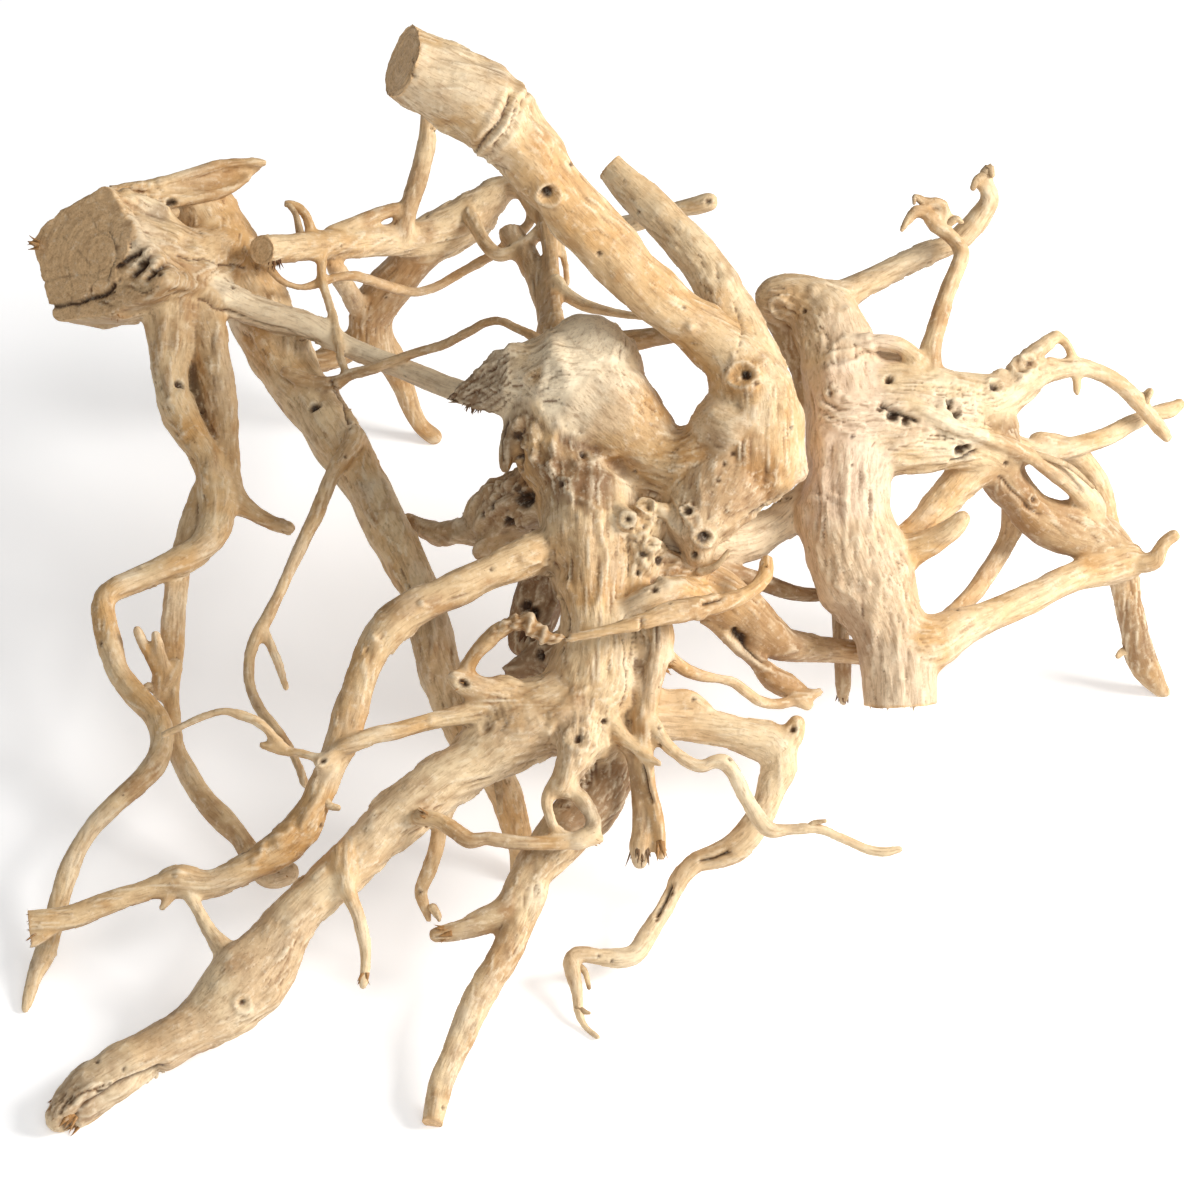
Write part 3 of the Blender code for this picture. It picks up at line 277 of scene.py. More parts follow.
# The limbs that leave the crown to the right and the low ones behind it
LOW_LIMBS = {
    "bent_arm": (
        (620, 715, -155, 26), (645, 720, -156, 20), (670, 722, -157, 18), (700, 725, -159, 18),
        (730, 731, -161, 19), (755, 738, -164, 21), (775, 745, -167, 23), (780, 765, -169, 21),
        (772, 785, -171, 16), (766, 805, -173, 14), (752, 830, -175, 14), (735, 848, -176, 14),
        (715, 857, -176, 12), (697, 862, -174, 10), (684, 873, -171, 10), (674, 889, -167, 10),
        (667, 905, -163, 10), (657, 921, -157, 10), (646, 938, -148, 11), (635, 954, -140, 11),
        (618, 958, -136, 11), (600, 957, -133, 9), (583, 954, -130, 9), (572, 957, -128, 9),
        (573, 972, -122, 8), (577, 992, -113, 6), (579, 1012, -103, 5), (585, 1026, -98, 4),
        (597, 1037, -88, 4)),
    "bent_arm_knob": ((780, 750, -167, 18), (792, 734, -163, 13), (797, 723, -162, 9)),
    "bent_arm_lobe": (
        (640, 692, -150, 14), (665, 699, -152, 10), (685, 698, -154, 11), (700, 706, -156, 9),
        (714, 718, -158, 8)),
    "wander_twig": (
        (648, 722, -122, 12), (664, 742, -112, 8), (676, 753, -109, 7), (688, 762, -107, 7),
        (702, 767, -106, 7), (713, 762, -106, 7), (724, 762, -107, 9), (733, 772, -110, 8),
        (741, 788, -113, 8), (750, 805, -115, 8), (759, 819, -117, 8), (770, 830, -118, 8),
        (785, 830, -120, 6), (800, 829, -121, 6), (818, 829, -123, 5), (835, 835, -125, 5),
        (855, 844, -127, 5), (870, 850, -128, 5), (886, 852, -129, 5), (900, 849, -130, 4)),
    "side_twig": (
        (655, 648, -150, 14), (673, 661, -163, 8), (686, 670, -176, 7), (702, 676, -190, 6),
        (720, 679, -203, 5), (735, 683, -214, 6), (748, 693, -225, 6), (762, 702, -236, 6),
        (778, 704, -245, 6), (792, 701, -251, 6), (806, 696, -255, 7), (820, 692, -257, 4)),
    "side_twig_prong": ((796, 699, -251, 7), (808, 705, -254, 6)),
    "low_arm": (
        (610, 545, -205, 26), (640, 562, -196, 18), (662, 570, -197, 16), (684, 577, -205, 22),
        (705, 588, -217, 26), (730, 603, -232, 27), (755, 625, -252, 24), (780, 642, -272, 20),
        (805, 647, -290, 16), (835, 650, -306, 13), (862, 652, -314, 12), (888, 655, -300, 14)),
    "low_arm_under": (
        (705, 606, -222, 14), (720, 620, -230, 11), (735, 639, -238, 9), (755, 659, -248, 9),
        (773, 679, -258, 13), (789, 686, -264, 13), (803, 693, -264, 8)),
    "shadow_limb": (
        (680, 570, -222, 12), (700, 570, -236, 10), (720, 571, -248, 9), (740, 575, -260, 9),
        (765, 583, -275, 9), (790, 592, -290, 9), (815, 595, -303, 8), (832, 590, -306, 10),
        (845, 578, -290, 14)),
    "torn_leg": (
        (832, 588, -310, 10), (838, 602, -322, 9), (840, 625, -332, 9), (842, 650, -338, 9),
        (843, 670, -343, 9), (843, 688, -347, 8), (843, 702, -350, 4)),
    "heel_arm": (
        (650, 528, -225, 22), (690, 530, -218, 24), (702, 540, -235, 20), (720, 544, -255, 20),
        (745, 542, -270, 20),
        (768, 531, -282, 19), (788, 516, -290, 19), (812, 500, -290, 22)),
    "pale_arm": (
        (620, 612, -165, 14), (640, 603, -148, 13), (660, 594, -146, 14), (676, 589, -154, 13),
        (690, 592, -172, 13), (705, 598, -200, 16)),
    "burl_right": ((618, 530, -198, 26), (642, 534, -192, 21), (650, 512, -190, 15)),
    "burl_right_low": ((640, 535, -190, 20), (642, 560, -186, 18), (628, 590, -178, 14)),
    "ring_knob": ((610, 515, -190, 16), (628, 520, -166, 11)),
    "pale_horn": ((684, 580, -192, 9), (700, 575, -186, 6), (716, 566, -180, 4), (727, 554, -174, 4)),
    "heel_knob": ((676, 512, -190, 12), (662, 510, -182, 8)),
    "burl_left": (
        (560, 490, -255, 34), (530, 500, -278, 34), (505, 512, -305, 32), (486, 528, -325, 22),
        (462, 532, -345, 12), (440, 534, -365, 11), (424, 529, -380, 10), (408, 518, -395, 6)),
    "burl_left_crest": ((515, 507, -295, 22), (494, 502, -308, 14), (478, 508, -318, 12)),
    "burl_left_lip": ((508, 540, -295, 16), (480, 553, -302, 8)),
    "hollow_back": ((560, 560, -230, 32), (543, 585, -245, 26), (534, 612, -243, 25), (526, 640, -236, 20)),
    "hollow_back_low": ((565, 655, -190, 26), (538, 660, -208, 18), (512, 672, -203, 9)),
}

# The paler body at the right, with its arms, leg and splinters
RIGHT_LIMBS = {
    "pale_head": (
        (776, 300, -335, 23), (800, 300, -330, 26), (822, 318, -320, 32), (838, 345, -305, 35),
        (845, 375, -292, 39)),
    "pale_body": (
        (846, 385, -290, 42), (852, 410, -284, 49), (852, 445, -278, 49), (848, 480, -274, 43),
        (841, 508, -270, 48), (851, 545, -268, 50), (868, 585, -266, 49), (886, 620, -264, 38),
        (898, 655, -262, 37), (902, 690, -260, 36), (904, 715, -260, 36)),
    "pale_shoulder": ((858, 396, -288, 40), (895, 395, -280, 30), (938, 398, -283, 26), (965, 402, -290, 26)),
    "shoulder_top": ((850, 368, -302, 30), (880, 372, -300, 22), (910, 377, -297, 19), (945, 390, -292, 16)),
    "shoulder_web": ((856, 425, -274, 48), (888, 422, -268, 37), (925, 418, -272, 29), (960, 418, -282, 24)),
    "under_arm": (
        (875, 440, -276, 38), (912, 446, -272, 28), (955, 442, -278, 25), (985, 449, -292, 22),
        (1005, 460, -308, 19)),
    "upper_arm": (
        (820, 305, -325, 24), (850, 291, -335, 14), (880, 276, -341, 12), (910, 261, -345, 13),
        (935, 250, -346, 12), (955, 242, -346, 12), (972, 227, -344, 12), (983, 212, -342, 11),
        (990, 200, -340, 10), (988, 187, -338, 8), (985, 172, -336, 6)),
    "upper_arm_tip": ((988, 190, -338, 8), (978, 183, -335, 5)),
    "antler_arm": (
        (926, 385, -284, 18), (929, 358, -284, 12), (933, 338, -288, 10), (939, 318, -293, 10),
        (945, 300, -298, 9), (952, 281, -304, 9), (959, 264, -310, 9), (962, 252, -315, 9),
        (954, 240, -317, 8), (944, 231, -318, 8), (936, 225, -318, 9)),
    "antler_low": ((936, 224, -318, 8), (925, 213, -316, 7), (914, 212, -314, 6), (908, 221, -313, 5),
                   (903, 228, -312, 4)),
    "antler_high": ((940, 222, -320, 8), (944, 210, -322, 7), (940, 203, -322, 6), (928, 201, -320, 5),
                    (915, 196, -318, 4)),
    "antler_stub": ((944, 222, -320, 6), (955, 218, -322, 4)),
    "handle": (
        (834, 352, -290, 14), (850, 344, -276, 9), (865, 343, -270, 8), (882, 342, -268, 8),
        (898, 345, -268, 8), (910, 353, -272, 9), (918, 368, -280, 14)),
    "knotty_arm": (
        (940, 397, -284, 26), (965, 402, -290, 26), (992, 400, -300, 24), (1015, 388, -310, 19),
        (1038, 374, -320, 14), (1060, 369, -328, 10), (1080, 367, -336, 10), (1100, 373, -342, 9),
        (1121, 385, -347, 9), (1136, 400, -350, 9), (1149, 415, -352, 8), (1159, 427, -353, 8),
        (1167, 437, -354, 6)),
    "knot_low": ((1005, 388, -304, 14), (1001, 376, -300, 8)),
    "knot_high": ((1020, 376, -312, 14), (1032, 356, -314, 10), (1046, 344, -318, 8), (1057, 335, -322, 6)),
    "knot_frame": ((1056, 335, -322, 6), (1066, 343, -325, 5), (1074, 360, -332, 5)),
    "knotty_nub": ((1077, 372, -336, 5), (1077, 392, -334, 4)),
    "knotty_bud": ((1140, 406, -351, 6), (1150, 392, -356, 5)),
    "long_arm": (
        (1000, 447, -318, 17), (1040, 454, -335, 11), (1070, 448, -348, 10), (1100, 439, -360, 10),
        (1130, 424, -372, 9), (1150, 415, -380, 8), (1170, 410, -386, 9), (1180, 404, -388, 6)),
    "long_splinter": (
        (880, 402, -266, 12), (905, 404, -246, 8), (932, 416, -243, 8), (960, 428, -247, 7),
        (985, 436, -258, 7), (1008, 446, -278, 8), (1035, 459, -300, 9), (1058, 474, -322, 12),
        (1080, 492, -350, 13), (1092, 508, -374, 14)),
    "window_limb": (
        (990, 458, -308, 23), (965, 477, -304, 20), (948, 496, -298, 18), (932, 514, -292, 16),
        (912, 534, -284, 15), (890, 555, -276, 20)),
    "window_stub": (
        (890, 562, -272, 26), (912, 550, -262, 17), (930, 542, -256, 14), (946, 533, -250, 12),
        (958, 524, -246, 11), (963, 518, -245, 9)),
    "right_leg": (
        (996, 430, -306, 24), (1000, 472, -320, 22), (1018, 497, -334, 21), (1038, 515, -350, 23),
        (1065, 527, -370, 26), (1090, 536, -390, 25), (1110, 548, -408, 22), (1122, 570, -424, 18),
        (1126, 595, -438, 15), (1132, 622, -453, 15), (1138, 650, -469, 15), (1147, 670, -481, 14),
        (1157, 685, -494, 10), (1163, 692, -500, 8)),
    "low_right_arm": (
        (905, 648, -262, 34), (932, 643, -264, 28), (955, 630, -276, 22), (985, 618, -297, 17),
        (1015, 605, -320, 16), (1040, 594, -340, 15), (1060, 583, -356, 14), (1085, 573, -374, 15),
        (1108, 566, -388, 18), (1128, 561, -396, 18)),
    "curl": (
        (1126, 562, -392, 12), (1146, 563, -385, 10), (1156, 560, -383, 9), (1160, 550, -382, 8),
        (1166, 541, -381, 7), (1174, 536, -380, 7)),
    "ring_limb": (
        (1040, 445, -342, 14), (1070, 451, -365, 13), (1086, 466, -385, 13), (1098, 484, -403, 12),
        (1105, 503, -412, 11), (1108, 524, -412, 12), (1112, 545, -410, 16)),
    "far_strut": (
        (1014, 500, -362, 14), (1011, 530, -386, 12), (1003, 548, -388, 10), (988, 573, -376, 10),
        (973, 594, -360, 10), (958, 608, -340, 9), (942, 624, -305, 11)),
    "neck_twig": ((772, 312, -345, 13), (788, 343, -335, 11), (804, 372, -318, 12), (812, 400, -300, 16)),
}


# The sawn butt, the fin beside it and the knee's torn face: flat outlines (across, down) on tilted plates
BUTT_OUTLINE = ((25, 240), (52, 215), (80, 195), (104, 187), (122, 218), (150, 258), (168, 282),
                (150, 298), (118, 312), (112, 319), (80, 320), (54, 318), (48, 304), (37, 268))
BUTT_PLATE = {"centre": (100, 258, -478), "slope": (0.55, 0.1), "thick": 54}
FIN_OUTLINE = ((104, 190), (130, 184), (160, 180), (190, 171), (220, 162), (250, 160), (267, 162),
               (250, 178), (228, 194), (200, 199), (180, 200), (165, 208), (130, 210))
FIN_PLATE = {"centre": (180, 185, -545), "slope": (-0.35, 0.2), "thick": 14}
TORN_OUTLINE = ((448, 398), (456, 387), (475, 367), (494, 352), (510, 344), (540, 352), (548, 390),
                (540, 420), (512, 420), (492, 414), (470, 409), (462, 404))
TORN_PLATE = {"centre": (490, 385, -238), "slope": (0.45, -0.1), "thick": 30}

# Sawn ends: a station at the middle of each cut, the way the cut faces, and the blade's reach
SAW_CUTS = {
    "trunk_end": ((402, 62, -87), (-0.86, -0.30, 0.42), 60),
    "fork_end": ((609, 167, -330), (-0.72, -0.66, -0.20), 30),
    "cut_limb_end": ((262, 250, -500), (-0.58, 0.05, 0.81), 24),
    "pale_stump": ((903, 705, -260), (0.04, 0.99, -0.06), 60),
    "front_leg_end": ((433, 1123, 14), (-0.15, 0.88, 0.45), 22),
    "left_arm_end": ((28, 922, -65), (-0.98, 0.1, 0.15), 20),
}

PIECES = {
    "left_limbs": LEFT_LIMBS,
    "back_limbs": BACK_LIMBS,
    "trunk": TRUNK_LIMBS,
    "crown": CROWN_LIMBS,
    "low_limbs": LOW_LIMBS,
    "right_limbs": RIGHT_LIMBS,
}

# Twigs too fine for the frame, (across, down, toward, radius)
TWIGLETS = (
    ((808, 828, -122, 4), (814, 823, -120, 3), (825, 821, -119, 2)),
    ((578, 966, -126, 4), (585, 972, -122, 3), (589, 988, -116, 2)),
    ((578, 1008, -104, 4), (585, 1012, -101, 3), (589, 1013, -100, 2)),
    ((324, 800, -100, 6), (330, 806, -96, 4), (338, 808, -95, 3)),
    ((497, 778, -240, 5), (499, 795, -236, 4), (500, 812, -233, 3)),
    ((1130, 650, -462, 5), (1122, 652, -458, 4), (1118, 656, -456, 3)),
    ((300, 232, -556, 4), (296, 215, -556, 3), (290, 206, -556, 3), (286, 205, -556, 2)),
    ((912, 214, -312, 4), (906, 222, -308, 3), (902, 230, -306, 2)),
    ((922, 202, -318, 4), (915, 197, -314, 3), (914, 203, -312, 2)),
    ((948, 224, -318, 4), (956, 219, -316, 4), (962, 222, -315, 2)),
    ((984, 176, -334, 5), (977, 180, -330, 4), (973, 188, -328, 3)),
    ((986, 172, -334, 5), (990, 167, -332, 4), (992, 175, -330, 3)),
    ((433, 908, -108, 5), (438, 916, -106, 4), (439, 920, -105, 2)),
    ((150, 764, -256, 5), (145, 766, -254, 4), (142, 770, -253, 3)),
    ((156, 690, -316, 5), (148, 686, -312, 4), (145, 690, -310, 3)),
    ((1145, 404, -348, 4), (1150, 393, -346, 3), (1151, 390, -345, 2)),
    ((1030, 452, -296, 3), (1052, 459, -300, 3), (1072, 468, -310, 3), (1093, 487, -326, 2)),
    ((700, 572, -182, 5), (712, 568, -176, 4), (722, 560, -172, 3), (728, 551, -170, 2)),
    ((130, 197, -527, 7), (150, 206, -546, 9), (172, 212, -556, 8)),
)

# Ends of fibres: (across, down, toward), the way they point, reach, length, count, tint
SPLINTERS = (
    ((64, 1114, 14), (-0.70, 0.70, 0.10), 19, 13, 46, "tan"),
    ((34, 923, -66), (-0.98, 0.12, 0.10), 10, 9, 20, "tan"),
    ((35, 939, -62), (-0.60, 0.75, 0.10), 6, 8, 8, "tan"),
    ((444, 933, -82), (-0.96, 0.15, 0.05), 8, 11, 20, "tan"),
    ((424, 818, -80), (-0.85, -0.45, 0.10), 7, 13, 18, "tan"),
    ((641, 854, -115), (0.00, 0.97, 0.15), 10, 15, 30, "grey"),
    ((661, 848, -110), (0.10, 0.97, 0.10), 6, 14, 14, "tan"),
    ((592, 838, -78), (0.92, 0.30, 0.15), 8, 10, 16, "tan"),
    ((280, 524, -400), (0.92, 0.35, 0.05), 7, 13, 18, "tan"),
    ((286, 872, -186), (0.80, 0.40, 0.05), 11, 9, 16, "tan"),
    ((454, 397, -262), (-0.90, 0.35, 0.00), 7, 9, 16, "grey"),
    ((472, 408, -258), (-0.40, 0.90, 0.00), 10, 7, 16, "grey"),
    ((903, 700, -258), (0.02, 0.99, -0.06), 33, 10, 60, "cream"),
    ((274, 262, -508), (0.25, 0.90, 0.20), 9, 12, 16, "brown"),
    ((112, 316, -476), (0.20, 0.95, 0.10), 9, 9, 12, "tan"),
    ((32, 243, -512), (-0.9, -0.2, 0.10), 5, 6, 8, "tan"),
    ((660, 632, -150), (0.75, -0.30, 0.30), 8, 12, 14, "tan"),
    ((668, 664, -142), (0.75, 0.30, 0.30), 7, 12, 12, "tan"),
    ((506, 462, -228), (-0.40, 0.90, 0.05), 7, 9, 14, "tan"),
    ((530, 640, -220), (-0.30, 0.90, 0.10), 20, 12, 24, "brown"),
    ((843, 696, -348), (0.00, 0.99, 0.05), 6, 10, 12, "brown"),
    ((456, 680, -104), (-0.90, -0.10, 0.20), 9, 9, 16, "tan"),
    ((766, 566, -173), (0.00, -0.98, 0.10), 7, 6, 10, "tan"),
    ((364, 980, -60), (-0.10, 0.98, 0.05), 5, 6, 8, "tan"),
    ((709, 202, -562), (0.95, -0.10, 0.05), 8, 5, 10, "tan"),
    ((412, 520, -392), (-0.90, -0.30, 0.05), 7, 9, 12, "brown"),
)

# Marks on the side toward the viewer: (kind, across, down, reach, depth in sketch units)
MARKS = (
    ("pit", 740, 371, 8, 9), ("callus", 738, 371, 20, 6), ("pit", 751, 379, 4, 4),
    ("bump", 731, 362, 7, 3), ("pit", 547, 197, 9, 9), ("callus", 548, 199, 17, 4),
    ("bump", 692, 331, 8, 5), ("pit", 690, 304, 3, 2), ("pit", 582, 733, 7, 6),
    ("callus", 582, 733, 16, 3), ("pit", 612, 718, 4, 5), ("dent", 480, 722, 10, 4),
    ("pit", 248, 1001, 5, 4), ("callus", 248, 1001, 11, 2.5), ("bump", 427, 600, 6, 4),
    ("bump", 369, 633, 6, 4), ("pit", 708, 540, 8, 6), ("callus", 708, 541, 15, 4),
    ("pit", 712, 476, 3, 4), ("pit", 720, 460, 3, 3), ("pit", 628, 519, 5, 6),
    ("callus", 628, 519, 10, 3), ("pit", 640, 550, 5, 6), ("callus", 655, 540, 9, 4),
    ("pit", 655, 540, 3, 4), ("pit", 663, 561, 7, 7), ("callus", 663, 557, 15, 4),
    ("pit", 648, 522, 3, 4), ("pit", 310, 403, 8, 10), ("pit", 186, 378, 8, 10), ("pit", 798, 306, 4, 5),
    ("callus", 775, 312, 14, 4), ("pit", 955, 402, 4, 6), ("pit", 964, 410, 3, 5),
    ("pit", 962, 457, 8, 12), ("pit", 972, 453, 5, 9), ("pit", 1035, 360, 4, 5),
    ("callus", 1035, 360, 10, 3), ("pit", 705, 201, 5, 5), ("pit", 797, 725, 5, 6),
    ("pit", 518, 505, 13, 17), ("pit", 504, 527, 10, 13), ("pit", 488, 500, 6, 7),
    ("pit", 478, 520, 4, 5), ("pit", 512, 484, 6, 8), ("pit", 540, 610, 11, 14), ("pit", 520, 600, 8, 10),
    ("pit", 535, 650, 9, 12), ("pit", 468, 684, 7, 8), ("pit", 321, 763, 5, 6), ("pit", 134, 260, 6, 7),
    ("pit", 146, 268, 5, 6), ("pit", 156, 270, 4, 5), ("dent", 105, 240, 9, 3), ("bump", 437, 718, 6, 2),
    ("bump", 505, 722, 7, 2), ("bump", 275, 838, 12, 3), ("bump", 180, 868, 9, 3),
    ("pit", 415, 888, 3, 3), ("bump", 178, 430, 6, 3), ("bump", 166, 395, 5, 3), ("bump", 240, 215, 9, 4),
    ("pit", 671, 888, 3, 4), ("pit", 657, 914, 3, 4), ("pit", 605, 958, 3, 3), ("pit", 617, 966, 3, 3),
    ("pit", 700, 697, 3, 3), ("bump", 852, 306, 6, 3), ("dent", 600, 380, 30, 3),
    ("bump", 560, 335, 14, 3), ("pit", 858, 432, 3, 3), ("pit", 846, 470, 2.5, 3),
    ("bump", 865, 590, 9, 3), ("pit", 1118, 651, 3, 3), ("pit", 176, 204, 9, 9),
    ("dent", 192, 236, 14, 5), ("dent", 226, 262, 12, 4), ("pit", 898, 410, 9, 12),
    ("pit", 912, 417, 6, 9), ("pit", 884, 403, 5, 7), ("pit", 893, 374, 6, 8), ("pit", 954, 398, 6, 9),
    ("pit", 960, 410, 6, 9), ("callus", 957, 404, 13, 4), ("callus", 1000, 382, 11, 3),
    ("pit", 998, 383, 6, 6), ("callus", 1024, 364, 12, 4), ("bump", 833, 388, 7, 4),
    ("bump", 826, 384, 5, 3), ("bump", 843, 392, 5, 3), ("pit", 1040, 503, 4, 4),
    ("callus", 1040, 503, 8, 2), ("bump", 808, 285, 9, 3), ("pit", 512, 466, 5, 6),
    ("pit", 556, 478, 5, 5), ("pit", 590, 448, 6, 5), ("pit", 508, 440, 7, 6), ("callus", 516, 447, 8, 4),
    ("bump", 528, 460, 8, 4), ("bump", 545, 456, 7, 3), ("pit", 630, 478, 3, 3),
    ("callus", 642, 500, 12, 4), ("pit", 640, 568, 4, 5), ("pit", 656, 584, 5, 5),
    ("pit", 636, 534, 3, 4), ("pit", 684, 508, 5, 5), ("callus", 684, 508, 9, 5), ("pit", 324, 357, 7, 7),
    ("pit", 1012, 470, 4, 4), ("dent", 1000, 430, 9, 4), ("pit", 690, 560, 5, 6),
)

# Open cracks and slits on the side toward the viewer: width, depth, then points (across, down)
CRACKS = (
    (1.1, 1.6, (505, 350), (478, 366), (458, 386)), (1.1, 2.2, (511, 352), (486, 372), (452, 396)),
    (1.1, 1.6, (512, 358), (492, 374), (468, 392)), (1.1, 2.2, (511, 366), (488, 384), (461, 400)),
    (1.1, 1.6, (512, 374), (498, 384), (478, 398)), (1.1, 2.2, (510, 382), (492, 394), (470, 407)),
    (1.1, 1.6, (510, 392), (498, 401), (484, 410)), (1.1, 2.2, (508, 400), (501, 407), (491, 414)),
    (9, 5, (526, 414), (548, 434), (586, 448), (622, 466), (654, 494)),
    (8, 4, (596, 770), (580, 782), (566, 800)), (7, 5, (648, 640), (640, 668), (642, 700)),
    (7, 4, (560, 566), (548, 574), (540, 590)), (2.5, 5, (106, 228), (112, 246), (109, 262), (105, 282)),
    (2, 4, (55, 304), (80, 299), (112, 292)), (1.5, 3, (60, 236), (74, 250), (82, 262)),
    (1.5, 3, (84, 210), (92, 226), (108, 236)), (1.5, 3, (44, 280), (70, 276), (96, 268)),
    (1.5, 3, (70, 305), (72, 288), (68, 268)), (1.5, 3, (120, 230), (112, 250), (118, 280)),
    (1.5, 3, (88, 300), (92, 280), (90, 262)), (4, 9, (118, 268), (130, 259), (141, 249)),
    (4, 9, (131, 275), (142, 265), (152, 257)), (3.5, 8, (147, 279), (155, 272), (163, 266)),
    (3, 7, (52, 306), (80, 302), (104, 293), (112, 286)), (4, 9, (735, 632), (748, 648), (762, 662)),
    (3, 7, (671, 887), (665, 902), (657, 915)), (3, 6, (703, 860), (715, 858), (728, 852)),
    (3, 7, (882, 402), (900, 412), (915, 421)), (3, 6, (705, 602), (713, 600), (721, 597)),
    (3, 6, (640, 765), (645, 782), (650, 800)), (3, 6, (950, 460), (962, 457), (976, 452)),
    (3.5, 6, (98, 1092), (130, 1082), (165, 1068)),
    (6, 12, (68, 1130), (88, 1108), (120, 1086), (160, 1071)),
    (2, 4, (70, 1104), (84, 1092), (104, 1084)), (2, 4, (60, 1114), (66, 1102), (74, 1096)),
    (2, 4, (508, 98), (502, 116), (486, 136), (477, 150)), (1.5, 3, (514, 104), (508, 124), (494, 142)),
    (1.5, 2.5, (430, 130), (470, 150), (505, 172)), (1.5, 2, (735, 300), (742, 330), (738, 352)),
    (2, 4, (505, 420), (500, 440), (503, 462)), (2, 4, (520, 430), (516, 452), (519, 470)),
    (2, 3, (640, 620), (646, 660), (640, 700)), (1.5, 3, (625, 640), (628, 670), (622, 705)),
    (2, 4, (330, 380), (345, 404), (350, 430)), (1.2, 1.2, (870, 676), (874, 690), (876, 702)),
    (1.2, 1.2, (886, 672), (889, 688), (890, 702)), (1.2, 1.2, (905, 668), (908, 686), (908, 704)),
    (1.2, 1.2, (924, 674), (923, 690), (925, 704)), (1.2, 1.2, (897, 680), (899, 692), (899, 704)),
    (2, 4, (560, 600), (566, 620), (562, 650)), (2, 5, (392, 46), (404, 60), (414, 78)),
    (1.5, 3, (396, 80), (404, 64), (418, 44)), (1.5, 3, (250, 250), (262, 250), (275, 252)),
    (1.5, 3, (262, 238), (263, 250), (259, 262)), (2, 4, (748, 512), (770, 504), (792, 498)),
    (2, 3, (1000, 480), (1020, 500), (1040, 516)), (2, 3, (176, 255), (210, 262), (245, 268)),
    (2, 3, (200, 300), (260, 322), (320, 345)),
)

# Raised folds on the side toward the viewer: width, height, then points (across, down)
FOLDS = (
    (3, 2.5, (150, 183), (156, 194), (152, 206)), (3, 2.5, (160, 181), (168, 192), (166, 204)),
    (3, 2.5, (140, 184), (144, 196), (140, 208)), (5, 5, (655, 505), (670, 520), (688, 536)),
    (4, 4, (676, 498), (690, 520), (704, 546)), (4, 3, (560, 446), (590, 470), (628, 492)),
    (4, 3, (548, 462), (566, 490), (600, 512)), (4, 3, (545, 520), (556, 548), (560, 590)),
    (4, 3, (600, 520), (606, 560), (600, 600)), (4, 3, (524, 560), (548, 566), (566, 590)),
    (3, 3, (866, 476), (874, 500), (872, 530)), (3, 3, (822, 470), (826, 500), (820, 540)),
    (4, 3, (890, 452), (904, 440), (930, 434)), (3, 2.5, (880, 462), (896, 452), (918, 446)),
    (3, 2.5, (826, 392), (840, 404), (860, 410)), (3, 2.5, (822, 402), (838, 416), (862, 424)),
    (3, 2.5, (820, 414), (838, 430), (866, 438)), (6, 5, (520, 88), (513, 112), (496, 136), (478, 152)),
    (5, 4, (528, 100), (518, 124), (502, 148), (490, 160)),
    (4, 3, (503, 92), (498, 110), (484, 130), (472, 142)), (5, 3, (335, 385), (350, 408), (353, 432)),
    (7, 7, (108, 196), (128, 222), (150, 250), (184, 280), (222, 300)),
    (4, 3, (125, 188), (150, 188), (172, 196)), (4, 3, (122, 198), (146, 200), (166, 210)),
    (4, 3, (130, 214), (152, 228), (176, 240)), (3, 2, (510, 346), (507, 372), (504, 398), (512, 420)),
    (4, 2, (548, 352), (542, 380), (536, 404), (545, 425)), (4, 4, (515, 420), (512, 440), (505, 462)),
    (4, 4, (530, 425), (528, 445), (540, 465)), (5, 4, (545, 440), (560, 455), (580, 462), (610, 458)),
    (4, 3, (540, 470), (570, 480), (605, 476), (630, 484)),
    (5, 5, (520, 490), (500, 484), (482, 500), (468, 516)),
    (5, 5, (525, 505), (505, 500), (490, 512), (478, 528)),
    (5, 5, (528, 525), (510, 522), (495, 534), (480, 546)), (4, 4, (460, 522), (440, 528), (418, 522)),
    (4, 4, (462, 538), (440, 542), (420, 532)), (4, 4, (545, 595), (530, 610), (528, 640)),
    (4, 4, (555, 600), (545, 625), (540, 655)), (3, 3, (530, 660), (515, 668), (500, 672)),
    (4, 4, (828, 372), (845, 366), (862, 358)), (4, 4, (832, 358), (852, 350), (872, 346)),
    (4, 3, (836, 346), (850, 338), (868, 336)), (4, 3, (800, 505), (812, 540), (828, 580), (856, 600)),
    (3, 3, (808, 500), (828, 494), (846, 498)), (3, 2, (870, 560), (880, 585), (878, 612)),
    (4, 3, (1010, 372), (1026, 356), (1040, 348)), (4, 3, (1022, 380), (1042, 366), (1056, 358)),
    (4, 4, (640, 510), (652, 520), (646, 534), (636, 536)),
    (4, 4, (650, 548), (668, 552), (678, 562), (668, 574)),
    (4, 4, (642, 560), (652, 572), (668, 584), (684, 582)),
    (4, 3, (700, 618), (722, 634), (742, 652), (768, 668)), (5, 3, (300, 825), (318, 800), (336, 770)),
    (4, 3, (255, 862), (268, 842), (290, 830)), (5, 3, (575, 700), (560, 712), (548, 730)),
    (4, 3, (585, 690), (568, 700), (552, 716)), (4, 3, (606, 742), (590, 752), (572, 748)),
    (5, 4, (96, 1086), (76, 1098), (60, 1112)), (4, 4, (112, 1084), (94, 1100), (76, 1122)),
)

